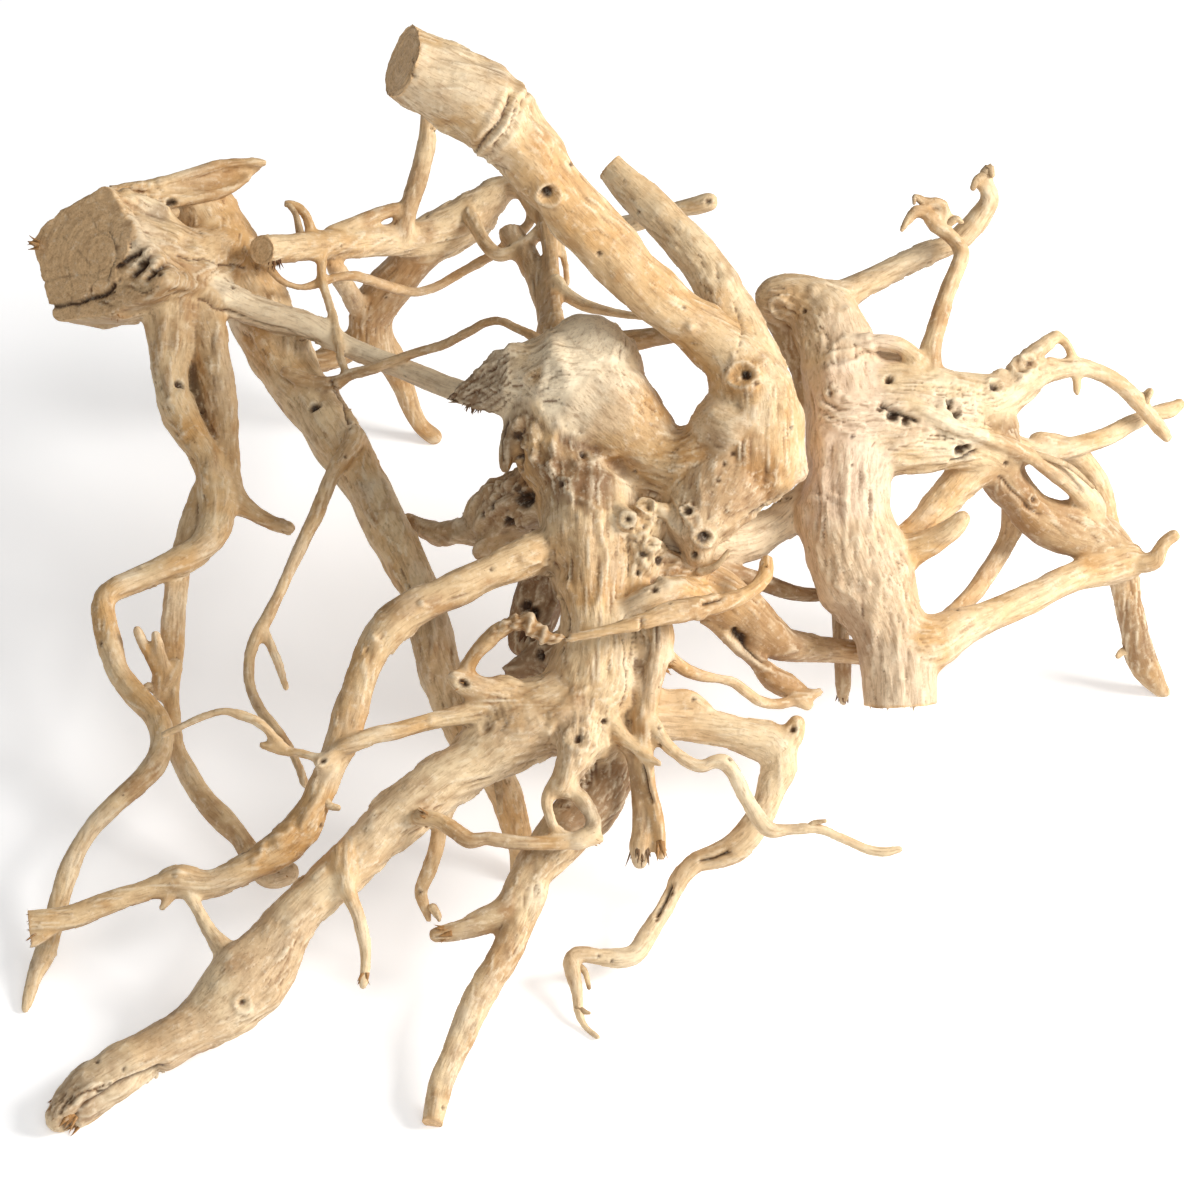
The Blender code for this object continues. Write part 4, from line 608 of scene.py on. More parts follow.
# Balls of the skin that are rougher or tinted: (across, down, reach, roughness in sketch units, tint,
# amount).
# Most tints are the wood's own tone; the brown and dark balls in hollows and on limbs in the shade of others,
# such as those at (540, 615), (568, 466), (604, 484), (628, 506) and (168, 206), are painted shade.
REGIONS = (
    (90, 255, 75, 0.8, "sawn", 0.75), (478, 384, 40, 4.0, "grey", 0.75), (505, 430, 34, 3.2, "grey", 0.6),
    (492, 508, 46, 6.5, "tan", 0.45), (540, 615, 46, 5.0, "brown", 0.8),
    (655, 545, 36, 4.0, "cream", 0.5), (770, 505, 34, 2.5, "grey", 0.6),
    (738, 372, 26, 2.0, "ochre", 0.7), (850, 470, 62, 0.8, "pink", 0.75),
    (848, 400, 56, 0.8, "pink", 0.6), (590, 365, 74, 0.4, "pale", 0.85),
    (640, 420, 50, 0.4, "ochre", 0.35), (568, 466, 44, 1.8, "brown", 0.62),
    (604, 484, 34, 1.4, "brown", 0.55), (628, 506, 22, 1.0, "dark", 0.30),
    (738, 470, 66, 0.8, "tan", 0.8), (545, 470, 50, 1.2, "grey", 0.35), (590, 560, 45, 0.6, "tan", 0.35),
    (540, 720, 62, 1.8, "tan", 0.5), (610, 795, 60, 0.6, "brown", 0.6), (655, 660, 40, 1.2, "pale", 0.6),
    (455, 85, 55, 0.3, "pale", 0.55), (560, 190, 60, 0.2, "ochre", 0.35),
    (640, 280, 55, 0.2, "ochre", 0.3), (142, 232, 34, 0.8, "pale", 0.7),
    (168, 206, 16, 1.0, "brown", 0.6), (225, 165, 40, 0.6, "tan", 0.5),
    (720, 600, 50, 1.0, "brown", 0.45), (760, 560, 40, 0.8, "ochre", 0.35),
    (960, 410, 46, 1.8, "pale", 0.6), (1040, 350, 34, 2.0, "tan", 0.4), (930, 215, 30, 1.5, "tan", 0.4),
    (1140, 640, 60, 1.0, "brown", 0.4), (1060, 530, 55, 0.5, "ochre", 0.3),
    (900, 670, 50, 0.6, "pale", 0.5), (500, 830, 60, 0.5, "brown", 0.35), (440, 640, 60, 0.3, "tan", 0.4),
    (70, 1110, 44, 2.5, "tan", 0.6), (290, 950, 74, 0.8, "tan", 0.55), (400, 830, 50, 0.6, "tan", 0.30),
    (190, 1040, 64, 0.8, "tan", 0.60), (110, 1072, 60, 1.0, "brown", 0.30),
    (850, 335, 50, 0.6, "pink", 0.7), (380, 310, 60, 0.8, "tan", 0.4), (785, 310, 26, 2.4, "ochre", 0.6),
    (840, 640, 40, 0.8, "brown", 0.6), (780, 650, 50, 0.8, "brown", 0.35),
    (330, 365, 45, 1.0, "grey", 0.4), (1000, 500, 40, 0.8, "tan", 0.4),
    (210, 440, 50, 0.5, "ochre", 0.35), (300, 830, 60, 0.4, "ochre", 0.3),
)

# Limbs that are darker or paler than the rest: (tint, amount). Most are the wood's own tone; the dark and
# brown tints of leg_web, hollow_back, hollow_back_low, shadow_limb and torn_leg, limbs in the shade of
# others, are painted shade.
LIMB_TONES_AND_SHADE = {
    "leg_web": ("dark", 0.75), "hollow_back": ("brown", 0.75), "hollow_back_low": ("brown", 0.7),
    "burl_left": ("brown", 0.35), "burl_left_crest": ("tan", 0.4), "burl_left_lip": ("tan", 0.4),
    "shadow_limb": ("brown", 0.5), "torn_leg": ("brown", 0.5), "heel_arm": ("pale", 0.6),
    "low_arm": ("tan", 0.5), "low_arm_under": ("tan", 0.4), "bow_twig": ("ochre", 0.35),
    "knee_torn": ("grey", 0.7), "knee_curtain": ("grey", 0.6), "shaded_limb": ("brown", 0.25),
    "back_strut_left": ("tan", 0.5), "back_strut_right": ("tan", 0.5), "wavy_twig": ("tan", 0.4),
    "knobby_twig": ("tan", 0.4), "cross_arm": ("pale", 0.5), "second_leg_top": ("tan", 0.3),
    "hook_twig": ("tan", 0.25), "back_leg": ("tan", 0.35), "back_knob": ("tan", 0.5),
    "column": ("tan", 0.3), "pale_body": ("pink", 0.35), "pale_head": ("cream", 0.3),
    "upper_arm": ("cream", 0.2), "drop_twig": ("tan", 0.3), "far_strut": ("tan", 0.4),
    "neck_twig": ("brown", 0.4), "back_bar": ("tan", 0.4), "butt_spur": ("pale", 0.5),
    "shoulder_web": ("pink", 0.35), "shoulder_top": ("cream", 0.3), "torn_stalk": ("tan", 0.3),
    "bent_arm": ("cream", 0.2), "right_leg": ("brown", 0.35),
}

# Tints as seen on a screen, red, green, blue
TINTS = {
    "cream": (225, 197, 154), "tan": (168, 124, 75), "ochre": (198, 147, 80), "brown": (104, 68, 38),
    "dark": (46, 29, 18), "pale": (240, 223, 192), "pink": (232, 208, 182), "grey": (122, 94, 66),
    "sawn": (228, 190, 142), "ring": (176, 138, 94),
}

# How many marks are strewn by a seeded rule, and the lengths of fine relief in metres
SCATTERED = 340
RIPPLE_SPACING = 0.0034
RING_SPACING = 0.0021
LEDGE_SPACING = 0.0046
LEDGE_HEIGHT = 0.00032
BUTT_REACH = 0.046
FACE_DEPTH = 0.0015
LOBE_LENGTH = 0.02
SCATTER_LEAST = 0.0042
BLADE_ROWS = 6
BLADE_ROOT = 0.004
TWIG_SIDES = 12
SIDE_WIDTH = 0.0008

# Least radius of a limb and of a fine twig, in sketch units
LEAST_RADIUS = 3.0
LEAST_TWIG_RADIUS = 1.5

# Cell and depth, in sketch units, within which a point counts as facing the viewer
FRONT_CELL = 5.0
FRONT_DEPTH = 16.0

CAMERA_LENS = 150.0
SENSOR_WIDTH = 36.0
FLOOR_HALF = 12.0
SLICE = 20000


def linear(colour):
    """Screen colour, 0 to 255, as linear light."""
    part = np.asarray(colour, dtype=float) / 255.0
    return np.where(part <= 0.04045, part / 12.92, ((part + 0.055) / 1.055) ** 2.4)


def smooth_step(values, low, high):
    """0 below low, 1 above high and 3t^2 - 2t^3 between."""
    part = np.clip((values - low) / (high - low), 0.0, 1.0)
    return part * part * (3.0 - 2.0 * part)


def to_world(sketch):
    """World points of sketch points: the sketch plane stands square to the line of sight."""
    sketch = np.asarray(sketch, dtype=float)
    near = sketch[..., 2] * SKETCH_UNIT
    shrink = (1.0 - near / VIEW_DISTANCE) * SKETCH_UNIT
    right = (sketch[..., 0] - SKETCH_CENTRE[0]) * shrink
    up = (SKETCH_CENTRE[1] - sketch[..., 1]) * shrink
    back = up * math.sin(VIEW_ELEVATION) - near * math.cos(VIEW_ELEVATION)
    high = up * math.cos(VIEW_ELEVATION) + near * math.sin(VIEW_ELEVATION)
    return np.stack((right - ORIGIN[0], back - ORIGIN[1], high + CENTRE_HEIGHT), axis=-1)


def to_sketch(points):
    """Sketch points of world points, the inverse of to_world."""
    back = points[:, 1] + ORIGIN[1]
    high = points[:, 2] - CENTRE_HEIGHT
    up = back * math.sin(VIEW_ELEVATION) + high * math.cos(VIEW_ELEVATION)
    near = high * math.sin(VIEW_ELEVATION) - back * math.cos(VIEW_ELEVATION)
    shrink = (1.0 - near / VIEW_DISTANCE) * SKETCH_UNIT
    return np.stack(((points[:, 0] + ORIGIN[0]) / shrink + SKETCH_CENTRE[0],
                     SKETCH_CENTRE[1] - up / shrink, near / SKETCH_UNIT), axis=1)


def to_direction(sketch):
    """World direction of a sketch direction."""
    across, down, toward = sketch
    back = -down * math.sin(VIEW_ELEVATION) - toward * math.cos(VIEW_ELEVATION)
    high = -down * math.cos(VIEW_ELEVATION) + toward * math.sin(VIEW_ELEVATION)
    way = np.array((across, back, high))
    return way / np.linalg.norm(way)


def lattice(cells, seed):
    """Values from 0 to 1 for whole-number cells: three odd multipliers, mixed by shifts."""
    mixed = cells[:, 0] * 73856093 ^ cells[:, 1] * 19349663 ^ cells[:, 2] * 83492791 ^ seed * 26544357
    mixed = (mixed ^ (mixed >> 13)) * 1274126177
    mixed = mixed ^ (mixed >> 16)
    return (mixed & 0xFFFF) / 65535.0


def noise(points, size, seed):
    """Smooth noise from -1 to 1: the values at a lattice's corners, blended over cells of the given size."""
    scaled = points / size + seed * 7.31
    base = np.floor(scaled).astype(np.int64)
    part = scaled - base
    part = part * part * (3.0 - 2.0 * part)
    total = np.zeros(len(points))
    for corner in np.ndindex(2, 2, 2):
        share = np.prod(np.where(np.array(corner) == 1, part, 1.0 - part), axis=1)
        total += share * lattice(base + np.array(corner), seed)
    return 2.0 * total - 1.0


def rough_noise(points, size, seed):
    """Three octaves of noise, each half the size and half the height of the one before."""
    return sum(noise(points, size / 2 ** k, seed + k) / 2 ** k for k in range(3)) / 1.75


def curve_rows(stations, step):
    """Rows along a Catmull-Rom curve through the stations, about step radii apart."""
    points = np.array(stations, dtype=float)
    padded = np.vstack((2.0 * points[0] - points[1], points, 2.0 * points[-1] - points[-2]))
    rows = []
    for index in range(len(points) - 1):
        before, start, end, after = padded[index:index + 4]
        span = np.linalg.norm(end[:3] - start[:3])
        count = max(1, round(span / (step * (start[3] + end[3]))))
        part = (np.arange(count) / count)[:, None]
        rows.append(0.5 * (2.0 * start + (end - before) * part
                           + (2.0 * before - 5.0 * start + 4.0 * end - after) * part ** 2
                           + (3.0 * start - before - 3.0 * end + after) * part ** 3))
    rows.append(points[-1:])
    return np.vstack(rows)


def carried_frame(centres):
    """Tangent and two square directions at each row, from one fixed direction that the limb rarely takes."""
    tangent = np.gradient(centres, axis=0)
    tangent /= np.maximum(np.linalg.norm(tangent, axis=1, keepdims=True), 1e-9)
    fixed = np.eye(3)[np.argmin(np.abs(tangent).mean(axis=0))]
    side = fixed - tangent * (tangent @ fixed)[:, None]
    side /= np.maximum(np.linalg.norm(side, axis=1, keepdims=True), 1e-9)
    return tangent, side, np.cross(tangent, side)


class Limb:
    """A limb's rows in the world: centres, radii, directions and the length along it."""

    def __init__(self, stations, least, step=0.3):
        rows = curve_rows(stations, step)
        self.centres = to_world(rows[:, :3])
        shrink = 1.0 - rows[:, 2] * SKETCH_UNIT / VIEW_DISTANCE
        self.radii = np.maximum(rows[:, 3], least) * SKETCH_UNIT * shrink
        self.tangent, self.side, self.lift = carried_frame(self.centres)
        gaps = np.linalg.norm(np.diff(self.centres, axis=0), axis=1)
        self.along = np.concatenate(([0.0], np.cumsum(gaps)))


def limb_surface(limb, sides, lumps, seed):
    """A limb as a grid of points over (row, angle).

    Each ring is the row's centre plus its radius times the turning direction cos(a) side + sin(a) lift.
    Low lobes, 2 and 3 to the turn, wander along the limb and make the section uneven by the share lumps.
    Three shrinking rings round each end to a point.
    """
    cap = np.array((0.98, 0.80, 0.45))
    reach = np.array((0.20, 0.60, 0.89))
    first = limb.centres[0] - limb.tangent[0] * limb.radii[0] * reach[::-1, None]
    last = limb.centres[-1] + limb.tangent[-1] * limb.radii[-1] * reach[:, None]
    centres = np.vstack((first, limb.centres, last))
    radii = np.concatenate((limb.radii[0] * cap[::-1], limb.radii, limb.radii[-1] * cap))
    pad = len(cap)
    side = np.pad(limb.side, ((pad, pad), (0, 0)), mode="edge")
    lift = np.pad(limb.lift, ((pad, pad), (0, 0)), mode="edge")
    along = np.pad(limb.along, (pad, pad), mode="edge")[:, None]
    angle = (np.arange(sides) * 2.0 * math.pi / sides)[None, :]
    turn = along / LOBE_LENGTH
    lobes = (np.cos(2.0 * angle + 0.6 * turn + seed) + 0.7 * np.cos(3.0 * angle - 0.43 * turn + 2.1 * seed)
             + 0.5 * np.sin(0.9 * turn + 3.7 * seed))
    ring = radii[:, None] * (1.0 + lumps * lobes)
    grid = (centres[:, None, :] + ring[..., None] * (np.cos(angle)[..., None] * side[:, None, :]
                                                     + np.sin(angle)[..., None] * lift[:, None, :]))
    rows = len(centres)
    index = np.arange(rows * sides).reshape(rows, sides)
    over = np.roll(index, -1, axis=1)
    quads = np.stack((index[:-1], over[:-1], over[1:], index[1:]), axis=-1).reshape(-1, 4)
    ends = [index[0][::-1].tolist(), index[-1].tolist()]
    return grid.reshape(-1, 3), quads.tolist() + ends


def plate_directions(plate):
    """Outward direction of a plate that is tilted on the sketch."""
    slope_across, slope_down = plate["slope"]
    side = to_direction((1.0, 0.0, slope_across))
    fall = to_direction((0.0, 1.0, slope_down))
    outward = np.cross(fall, side)
    return outward / np.linalg.norm(outward)


def plate_surface(outline, plate):
    """A flat outline and the same outline set back by the plate's thickness, joined round the edge."""
    across, down, toward = plate["centre"]
    slope_across, slope_down = plate["slope"]
    flat = np.array(outline, dtype=float)
    depth = toward + (flat[:, 0] - across) * slope_across + (flat[:, 1] - down) * slope_down
    front = to_world(np.column_stack((flat, depth)))
    back = front - plate_directions(plate) * plate["thick"] * SKETCH_UNIT
    count = len(flat)
    near = list(range(count))
    far = [count + k for k in near]
    walls = [[k, (k + 1) % count, count + (k + 1) % count, count + k] for k in near]
    return np.vstack((front, back)), [near[::-1], far] + walls


def joined(surfaces):
    """Points and faces of several surfaces as one pair."""
    points, faces, start = [], [], 0
    for some, patches in surfaces:
        points.append(some)
        faces.extend([[start + k for k in patch] for patch in patches])
        start += len(some)
    return np.vstack(points), faces


def grown_skin(points, faces, voxel):
    """The surfaces grown into one: a voxel remesh of the whole, read back as points and quads."""
    mesh = bpy.data.meshes.new("limbs")
    mesh.from_pydata(points.tolist(), [], faces)
    shape = bpy.data.objects.new("limbs", mesh)
    bpy.context.scene.collection.objects.link(shape)
    remesh = shape.modifiers.new("grown", "REMESH")
    remesh.mode = "VOXEL"
    remesh.voxel_size = voxel
    graph = bpy.context.evaluated_depsgraph_get()
    result = bpy.data.meshes.new_from_object(shape.evaluated_get(graph))
    bpy.data.objects.remove(shape, do_unlink=True)
    bpy.data.meshes.remove(mesh)
    count = len(result.vertices)
    skin = np.empty(count * 3)
    result.vertices.foreach_get("co", skin)
    corners = np.empty(len(result.loops), dtype=np.int64)
    result.loops.foreach_get("vertex_index", corners)
    if len(corners) != 4 * len(result.polygons):
        raise RuntimeError("the grown skin holds faces that aren't quads")
    bpy.data.meshes.remove(result)
    return Skin(skin.reshape(-1, 3), corners.reshape(-1, 4))


class Skin:
    """The grown surface as arrays: points, quads and every pair of neighbours, both ways round."""

    def __init__(self, points, quads):
        self.points = points
        self.quads = quads
        count = len(points)
        pairs = np.concatenate([quads[:, (k, (k + 1) % 4)] for k in range(4)])
        pairs.sort(axis=1)
        keys = np.unique(pairs[:, 0] * count + pairs[:, 1])
        low, high = keys // count, keys % count
        self.here = np.concatenate((low, high))
        self.there = np.concatenate((high, low))
        self.degree = np.bincount(self.here, minlength=count)

    def mean(self, values, weight=None):
        """Mean of each point's neighbours, weighted where weights are given."""
        count = len(self.points)
        share = np.ones(len(self.here)) if weight is None else weight
        total = np.bincount(self.here, weights=share, minlength=count)
        columns = values.reshape(count, -1)
        sums = [np.bincount(self.here, weights=share * columns[self.there, k], minlength=count)
                for k in range(columns.shape[1])]
        return (np.stack(sums, axis=1) / np.maximum(total, 1e-12)[:, None]).reshape(values.shape)

    def smoothed(self, values, rounds, share=0.5):
        """Values moved toward the neighbours' mean, round after round."""
        for _ in range(rounds):
            values = values + (self.mean(values) - values) * share
        return values

    def normals(self):
        """Unit normals: the crossed diagonals of the quads round each point, summed."""
        corner = self.points[self.quads]
        face = np.cross(corner[:, 2] - corner[:, 0], corner[:, 3] - corner[:, 1])
        flat = self.quads.ravel()
        total = np.stack([np.bincount(flat, weights=np.repeat(face[:, k], 4), minlength=len(self.points))
                          for k in range(3)], axis=1)
        return total / np.maximum(np.linalg.norm(total, axis=1, keepdims=True), 1e-12)


def nearest_rows(points, centres, radii):
    """For each point the row whose ball lies nearest, by distance less radius, in slices of whole arrays."""
    best = np.empty(len(points), dtype=np.int64)
    centres = centres.astype(np.float32)
    squares = (centres ** 2).sum(axis=1)[None, :]
    for start in range(0, len(points), SLICE):
        block = points[start:start + SLICE].astype(np.float32)
        gap = (block ** 2).sum(axis=1)[:, None] + squares - 2.0 * block @ centres.T
        np.maximum(gap, 0.0, out=gap)
        best[start:start + SLICE] = np.argmin(np.sqrt(gap) - radii[None, :], axis=1)
    return best


class Growth:
    """What each point of the skin knows of its limb: thickness, grain direction, length and group."""

    def __init__(self, skin):
        limbs, groups = [], []
        self.names = []
        for group, table in enumerate(PIECES.values()):
            for name, stations in table.items():
                limbs.append(Limb(stations, LEAST_RADIUS, 0.2))
                groups.append(group)
                self.names.append(name)
        sizes = [len(limb.radii) for limb in limbs]
        centres = np.vstack([limb.centres for limb in limbs])
        radii = np.concatenate([limb.radii for limb in limbs]).astype(np.float32)
        rows = nearest_rows(skin.points, centres, radii)
        owner = np.repeat(np.arange(len(limbs)), sizes)
        self.limb = owner[rows]
        self.group = np.repeat(np.array(groups), sizes)[rows]
        self.radius = radii[rows].astype(float)
        tangent = np.vstack([limb.tangent for limb in limbs])[rows]
        side = np.vstack([limb.side for limb in limbs])[rows]
        lift = np.vstack([limb.lift for limb in limbs])[rows]
        spoke = skin.points - centres[rows]
        along = np.concatenate([limb.along for limb in limbs])[rows] + (spoke * tangent).sum(axis=1)
        self.along = along
        self.fibre = np.stack((along * 0.12 + self.limb * 0.37, (spoke * side).sum(axis=1),
                               (spoke * lift).sum(axis=1)), axis=1)
        broken = (self.limb[skin.here] != self.limb[skin.there]).astype(float)
        seam = np.bincount(skin.here, weights=broken, minlength=len(skin.points))
        self.seam = np.clip(skin.smoothed(np.minimum(seam, 1.0), 8) * 2.2, 0.0, 1.0)
        self.direction = self.flow(skin, tangent)

    @staticmethod
    def flow(skin, tangent):
        """The limbs' directions laid on the skin and evened out, so that the grain runs round each fork."""
        normal = skin.normals()
        way = tangent
        for _ in range(26):
            same = np.sign((way[skin.here] * way[skin.there]).sum(axis=1))
            way = way + 2.0 * skin.mean(way, same + 1e-3 * (same == 0.0)) * np.sign(
                np.bincount(skin.here, weights=same, minlength=len(way)))[:, None]
            way -= normal * (way * normal).sum(axis=1)[:, None]
            way /= np.maximum(np.linalg.norm(way, axis=1, keepdims=True), 1e-9)
        return way


def streaks(skin, direction, start, rounds):
    """Noise drawn out along the grain: each round takes in the neighbours that lie along the direction."""
    step = skin.points[skin.there] - skin.points[skin.here]
    step /= np.maximum(np.linalg.norm(step, axis=1, keepdims=True), 1e-9)
    weight = np.abs((step * direction[skin.here]).sum(axis=1)) ** 6 + 1e-4
    values = start
    for _ in range(rounds):
        values = 0.4 * values + 0.6 * skin.mean(values, weight)
    values = values - values.mean()
    return values / values.std()


def facing_front(sketch):
    """Which points face the viewer: no other point stands well before them in their cell of the sketch."""
    cell = np.floor(sketch[:, :2] / FRONT_CELL).astype(np.int64)
    cell -= cell.min(axis=0)
    key = cell[:, 0] * (cell[:, 1].max() + 1) + cell[:, 1]
    front = np.full(key.max() + 1, -np.inf)
    np.maximum.at(front, key, sketch[:, 2])
    return sketch[:, 2] > front[key] - FRONT_DEPTH


def anchor_of(sketch, shown, across, down, reach=6.0):
    """The shown point nearest the viewer within reach of a place on the sketch, or None."""
    near = shown & (np.abs(sketch[:, 0] - across) < reach) & (np.abs(sketch[:, 1] - down) < reach)
    if not near.any():
        return None
    index = np.flatnonzero(near)
    return sketch[index[np.argmax(sketch[index, 2])]]


class Places:
    """Points of the sketch in the order of their place across, to find those near a spot fast."""

    def __init__(self, sketch, indices):
        order = np.argsort(sketch[indices, 0], kind="stable")
        self.indices = indices[order]
        self.points = sketch[self.indices]

    def inside(self, low, high):
        """Indices of the points between two corners, over as many axes as the corners have."""
        start, end = np.searchsorted(self.points[:, 0], (low[0], high[0]))
        part = self.points[start:end, :len(low)]
        return self.indices[start:end][((part > low) & (part < high)).all(axis=1)]


def marks_relief(sketch, shown, radius):
    """Height and darkness that the marks give, by distance t = d / reach from each mark.

    A pit sinks by (1 - t^2)^2 and is darkened with painted shade, a callus is a ring (raised where t is near
    0.7) with a faint dark line painted just outside it, a bump rises and a dent sinks by (1 - t^2)^2 without
    darkening.
    """
    height = np.zeros(len(sketch))
    dark = np.zeros(len(sketch))
    places = Places(sketch, np.arange(len(sketch)))
    placed_marks = [(kind, anchor_of(sketch, shown, across, down), reach, depth)
                    for kind, across, down, reach, depth in MARKS]
    for kind, anchor, reach, depth in placed_marks + scattered_marks(sketch, radius):
        if anchor is None:
            continue
        box = places.inside(anchor - 1.6 * reach - 2.0, anchor + 1.6 * reach + 2.0)
        wobble = 1.0 + 0.25 * noise(sketch[box], max(4.0, reach), 71)
        part = np.linalg.norm((sketch[box] - anchor) / (1.0, 1.0, 1.3), axis=1) / (reach * wobble)
        bowl = np.clip(1.0 - part ** 2, 0.0, 1.0) ** 2
        ring = np.exp(-((part - 0.72) / 0.22) ** 2)
        if kind == "pit":
            height[box] -= depth * bowl
            dark[box] = np.maximum(dark[box], np.clip(2.2 * bowl, 0.0, min(1.0, 0.35 + reach / 14.0)))
        elif kind == "callus":
            height[box] += depth * ring
            dark[box] = np.maximum(dark[box], 0.25 * np.exp(-((part - 1.1) / 0.15) ** 2))
        else:
            height[box] += depth * bowl * (1.0 if kind == "bump" else -1.0)
    return height, dark


def near_lines(sketch, shown, lines, cell, wander, seeds):
    """For each straight part of the lines: its width and size, the points near it and their distance to it.

    The places on the sketch are first moved by smooth noise, so that the lines come out wavering.
    """
    shift = np.stack([noise(sketch, cell, seed) for seed in seeds], axis=1) * wander
    flat = sketch[:, :2] + shift
    places = Places(flat, np.flatnonzero(shown))
    for width, size, *stops in lines:
        stops = np.array(stops, dtype=float)
        reach = 4.0 * width + 4.0
        for start, end in zip(stops[:-1], stops[1:]):
            box = places.inside(np.minimum(start, end) - reach, np.maximum(start, end) + reach)
            way = end - start
            part = np.clip(((flat[box] - start) @ way) / (way @ way), 0.0, 1.0)
            yield width, size, box, np.linalg.norm(flat[box] - start - part[:, None] * way, axis=1)


def cracks_relief(sketch, shown):
    """Depth of the cracks and the painted shade in them: exp(-(d / width)^2) with d the distance to the line
    on the sketch.
    """
    height = np.zeros(len(sketch))
    dark = np.zeros(len(sketch))
    for width, depth, box, gap in near_lines(sketch, shown, CRACKS, 14.0, 2.5, (31, 37)):
        groove = np.exp(-(gap / width) ** 2)
        darkest = min(1.0, 0.15 + depth / 8.0) * min(1.0, 4.0 / width)
        height[box] = np.minimum(height[box], -depth * groove)
        dark[box] = np.maximum(dark[box], darkest * groove ** 2)
    return height, dark


def folds_relief(sketch, shown):
    """Height of the folds: exp(-(d / width)^2) with d the distance to the line on the sketch."""
    height = np.zeros(len(sketch))
    for width, rise, box, gap in near_lines(sketch, shown, FOLDS, 11.0, 3.0, (41, 43)):
        height[box] = np.maximum(height[box], rise * np.exp(-(gap / width) ** 2))
    return height


def scattered_marks(sketch, radius):
    """Small bumps, pits and knots strewn by seed over the thicker limbs, as (kind, place, reach, depth)."""
    maker = np.random.default_rng(17)
    thick = np.flatnonzero(radius > SCATTER_LEAST)
    picks = thick[maker.integers(0, len(thick), SCATTERED)]
    kinds = maker.choice(("bump", "pit", "callus"), SCATTERED, p=(0.48, 0.36, 0.16))
    reaches = maker.uniform(1.6, 3.9, SCATTERED) * np.where(kinds == "callus", 1.6, 1.0)
    depths = reaches * np.where(kinds == "pit", 0.9, np.where(kinds == "bump", 0.45, 0.25))
    return [(kind, sketch[pick], reach, depth)
            for kind, pick, reach, depth in zip(kinds, picks, reaches, depths)]


def region_shares(sketch, shown):
    """For each region its share at every point: 1 in the middle, fading with an uneven edge to 0."""
    shares = []
    ragged = noise(sketch, 16.0, 53) * 0.28 + noise(sketch, 6.0, 59) * 0.14
    for across, down, reach, _, _, _ in REGIONS:
        anchor = anchor_of(sketch, shown, across, down, 9.0)
        if anchor is None:
            shares.append(np.zeros(len(sketch)))
            continue
        part = np.linalg.norm(sketch - anchor, axis=1) / reach
        shares.append(1.0 - smooth_step(part + ragged, 0.55, 1.05))
    return shares


def sawn_planes():
    """Centre, outward direction and reach of every sawn face, and of the surface under the branch."""
    planes = [(to_world(station), to_direction(facing), reach * SKETCH_UNIT)
              for station, facing, reach in SAW_CUTS.values()]
    planes.append((to_world(BUTT_PLATE["centre"]), plate_directions(BUTT_PLATE), BUTT_REACH))
    return planes


def cut_flat(points):
    """Points beyond a sawn plane set back onto it, and how far each point lies inside a sawn face.

    The face isn't quite flat: noise sinks it a little, and low ledges, a sine of the distance from its
    middle, run round it.
    """
    sawn = np.zeros(len(points))
    rings = np.zeros(len(points))
    torn = 0.0011 * np.abs(rough_noise(points, 0.011, 97)) + 0.0003 * np.abs(noise(points, 0.0022, 98))
    waver = 4.0 * noise(points, 0.016, 99)
    for centre, outward, reach in sawn_planes():
        offset = points - centre
        height = offset @ outward
        away = np.linalg.norm(offset - np.outer(height, outward), axis=1)
        near = np.linalg.norm(offset, axis=1) < reach * 1.25
        sunk = torn + LEDGE_HEIGHT * (0.5 + 0.5 * np.sin(away * 2.0 * math.pi / LEDGE_SPACING + waver))
        over = near & (height > -sunk)
        points[over] -= (height[over] + sunk[over])[:, None] * outward
        face = near & (height > -FACE_DEPTH)
        sawn[face] = 1.0
        rings[face] = away[face]
    points[:, 2] = np.maximum(points[:, 2], 0.0)
    return sawn, rings


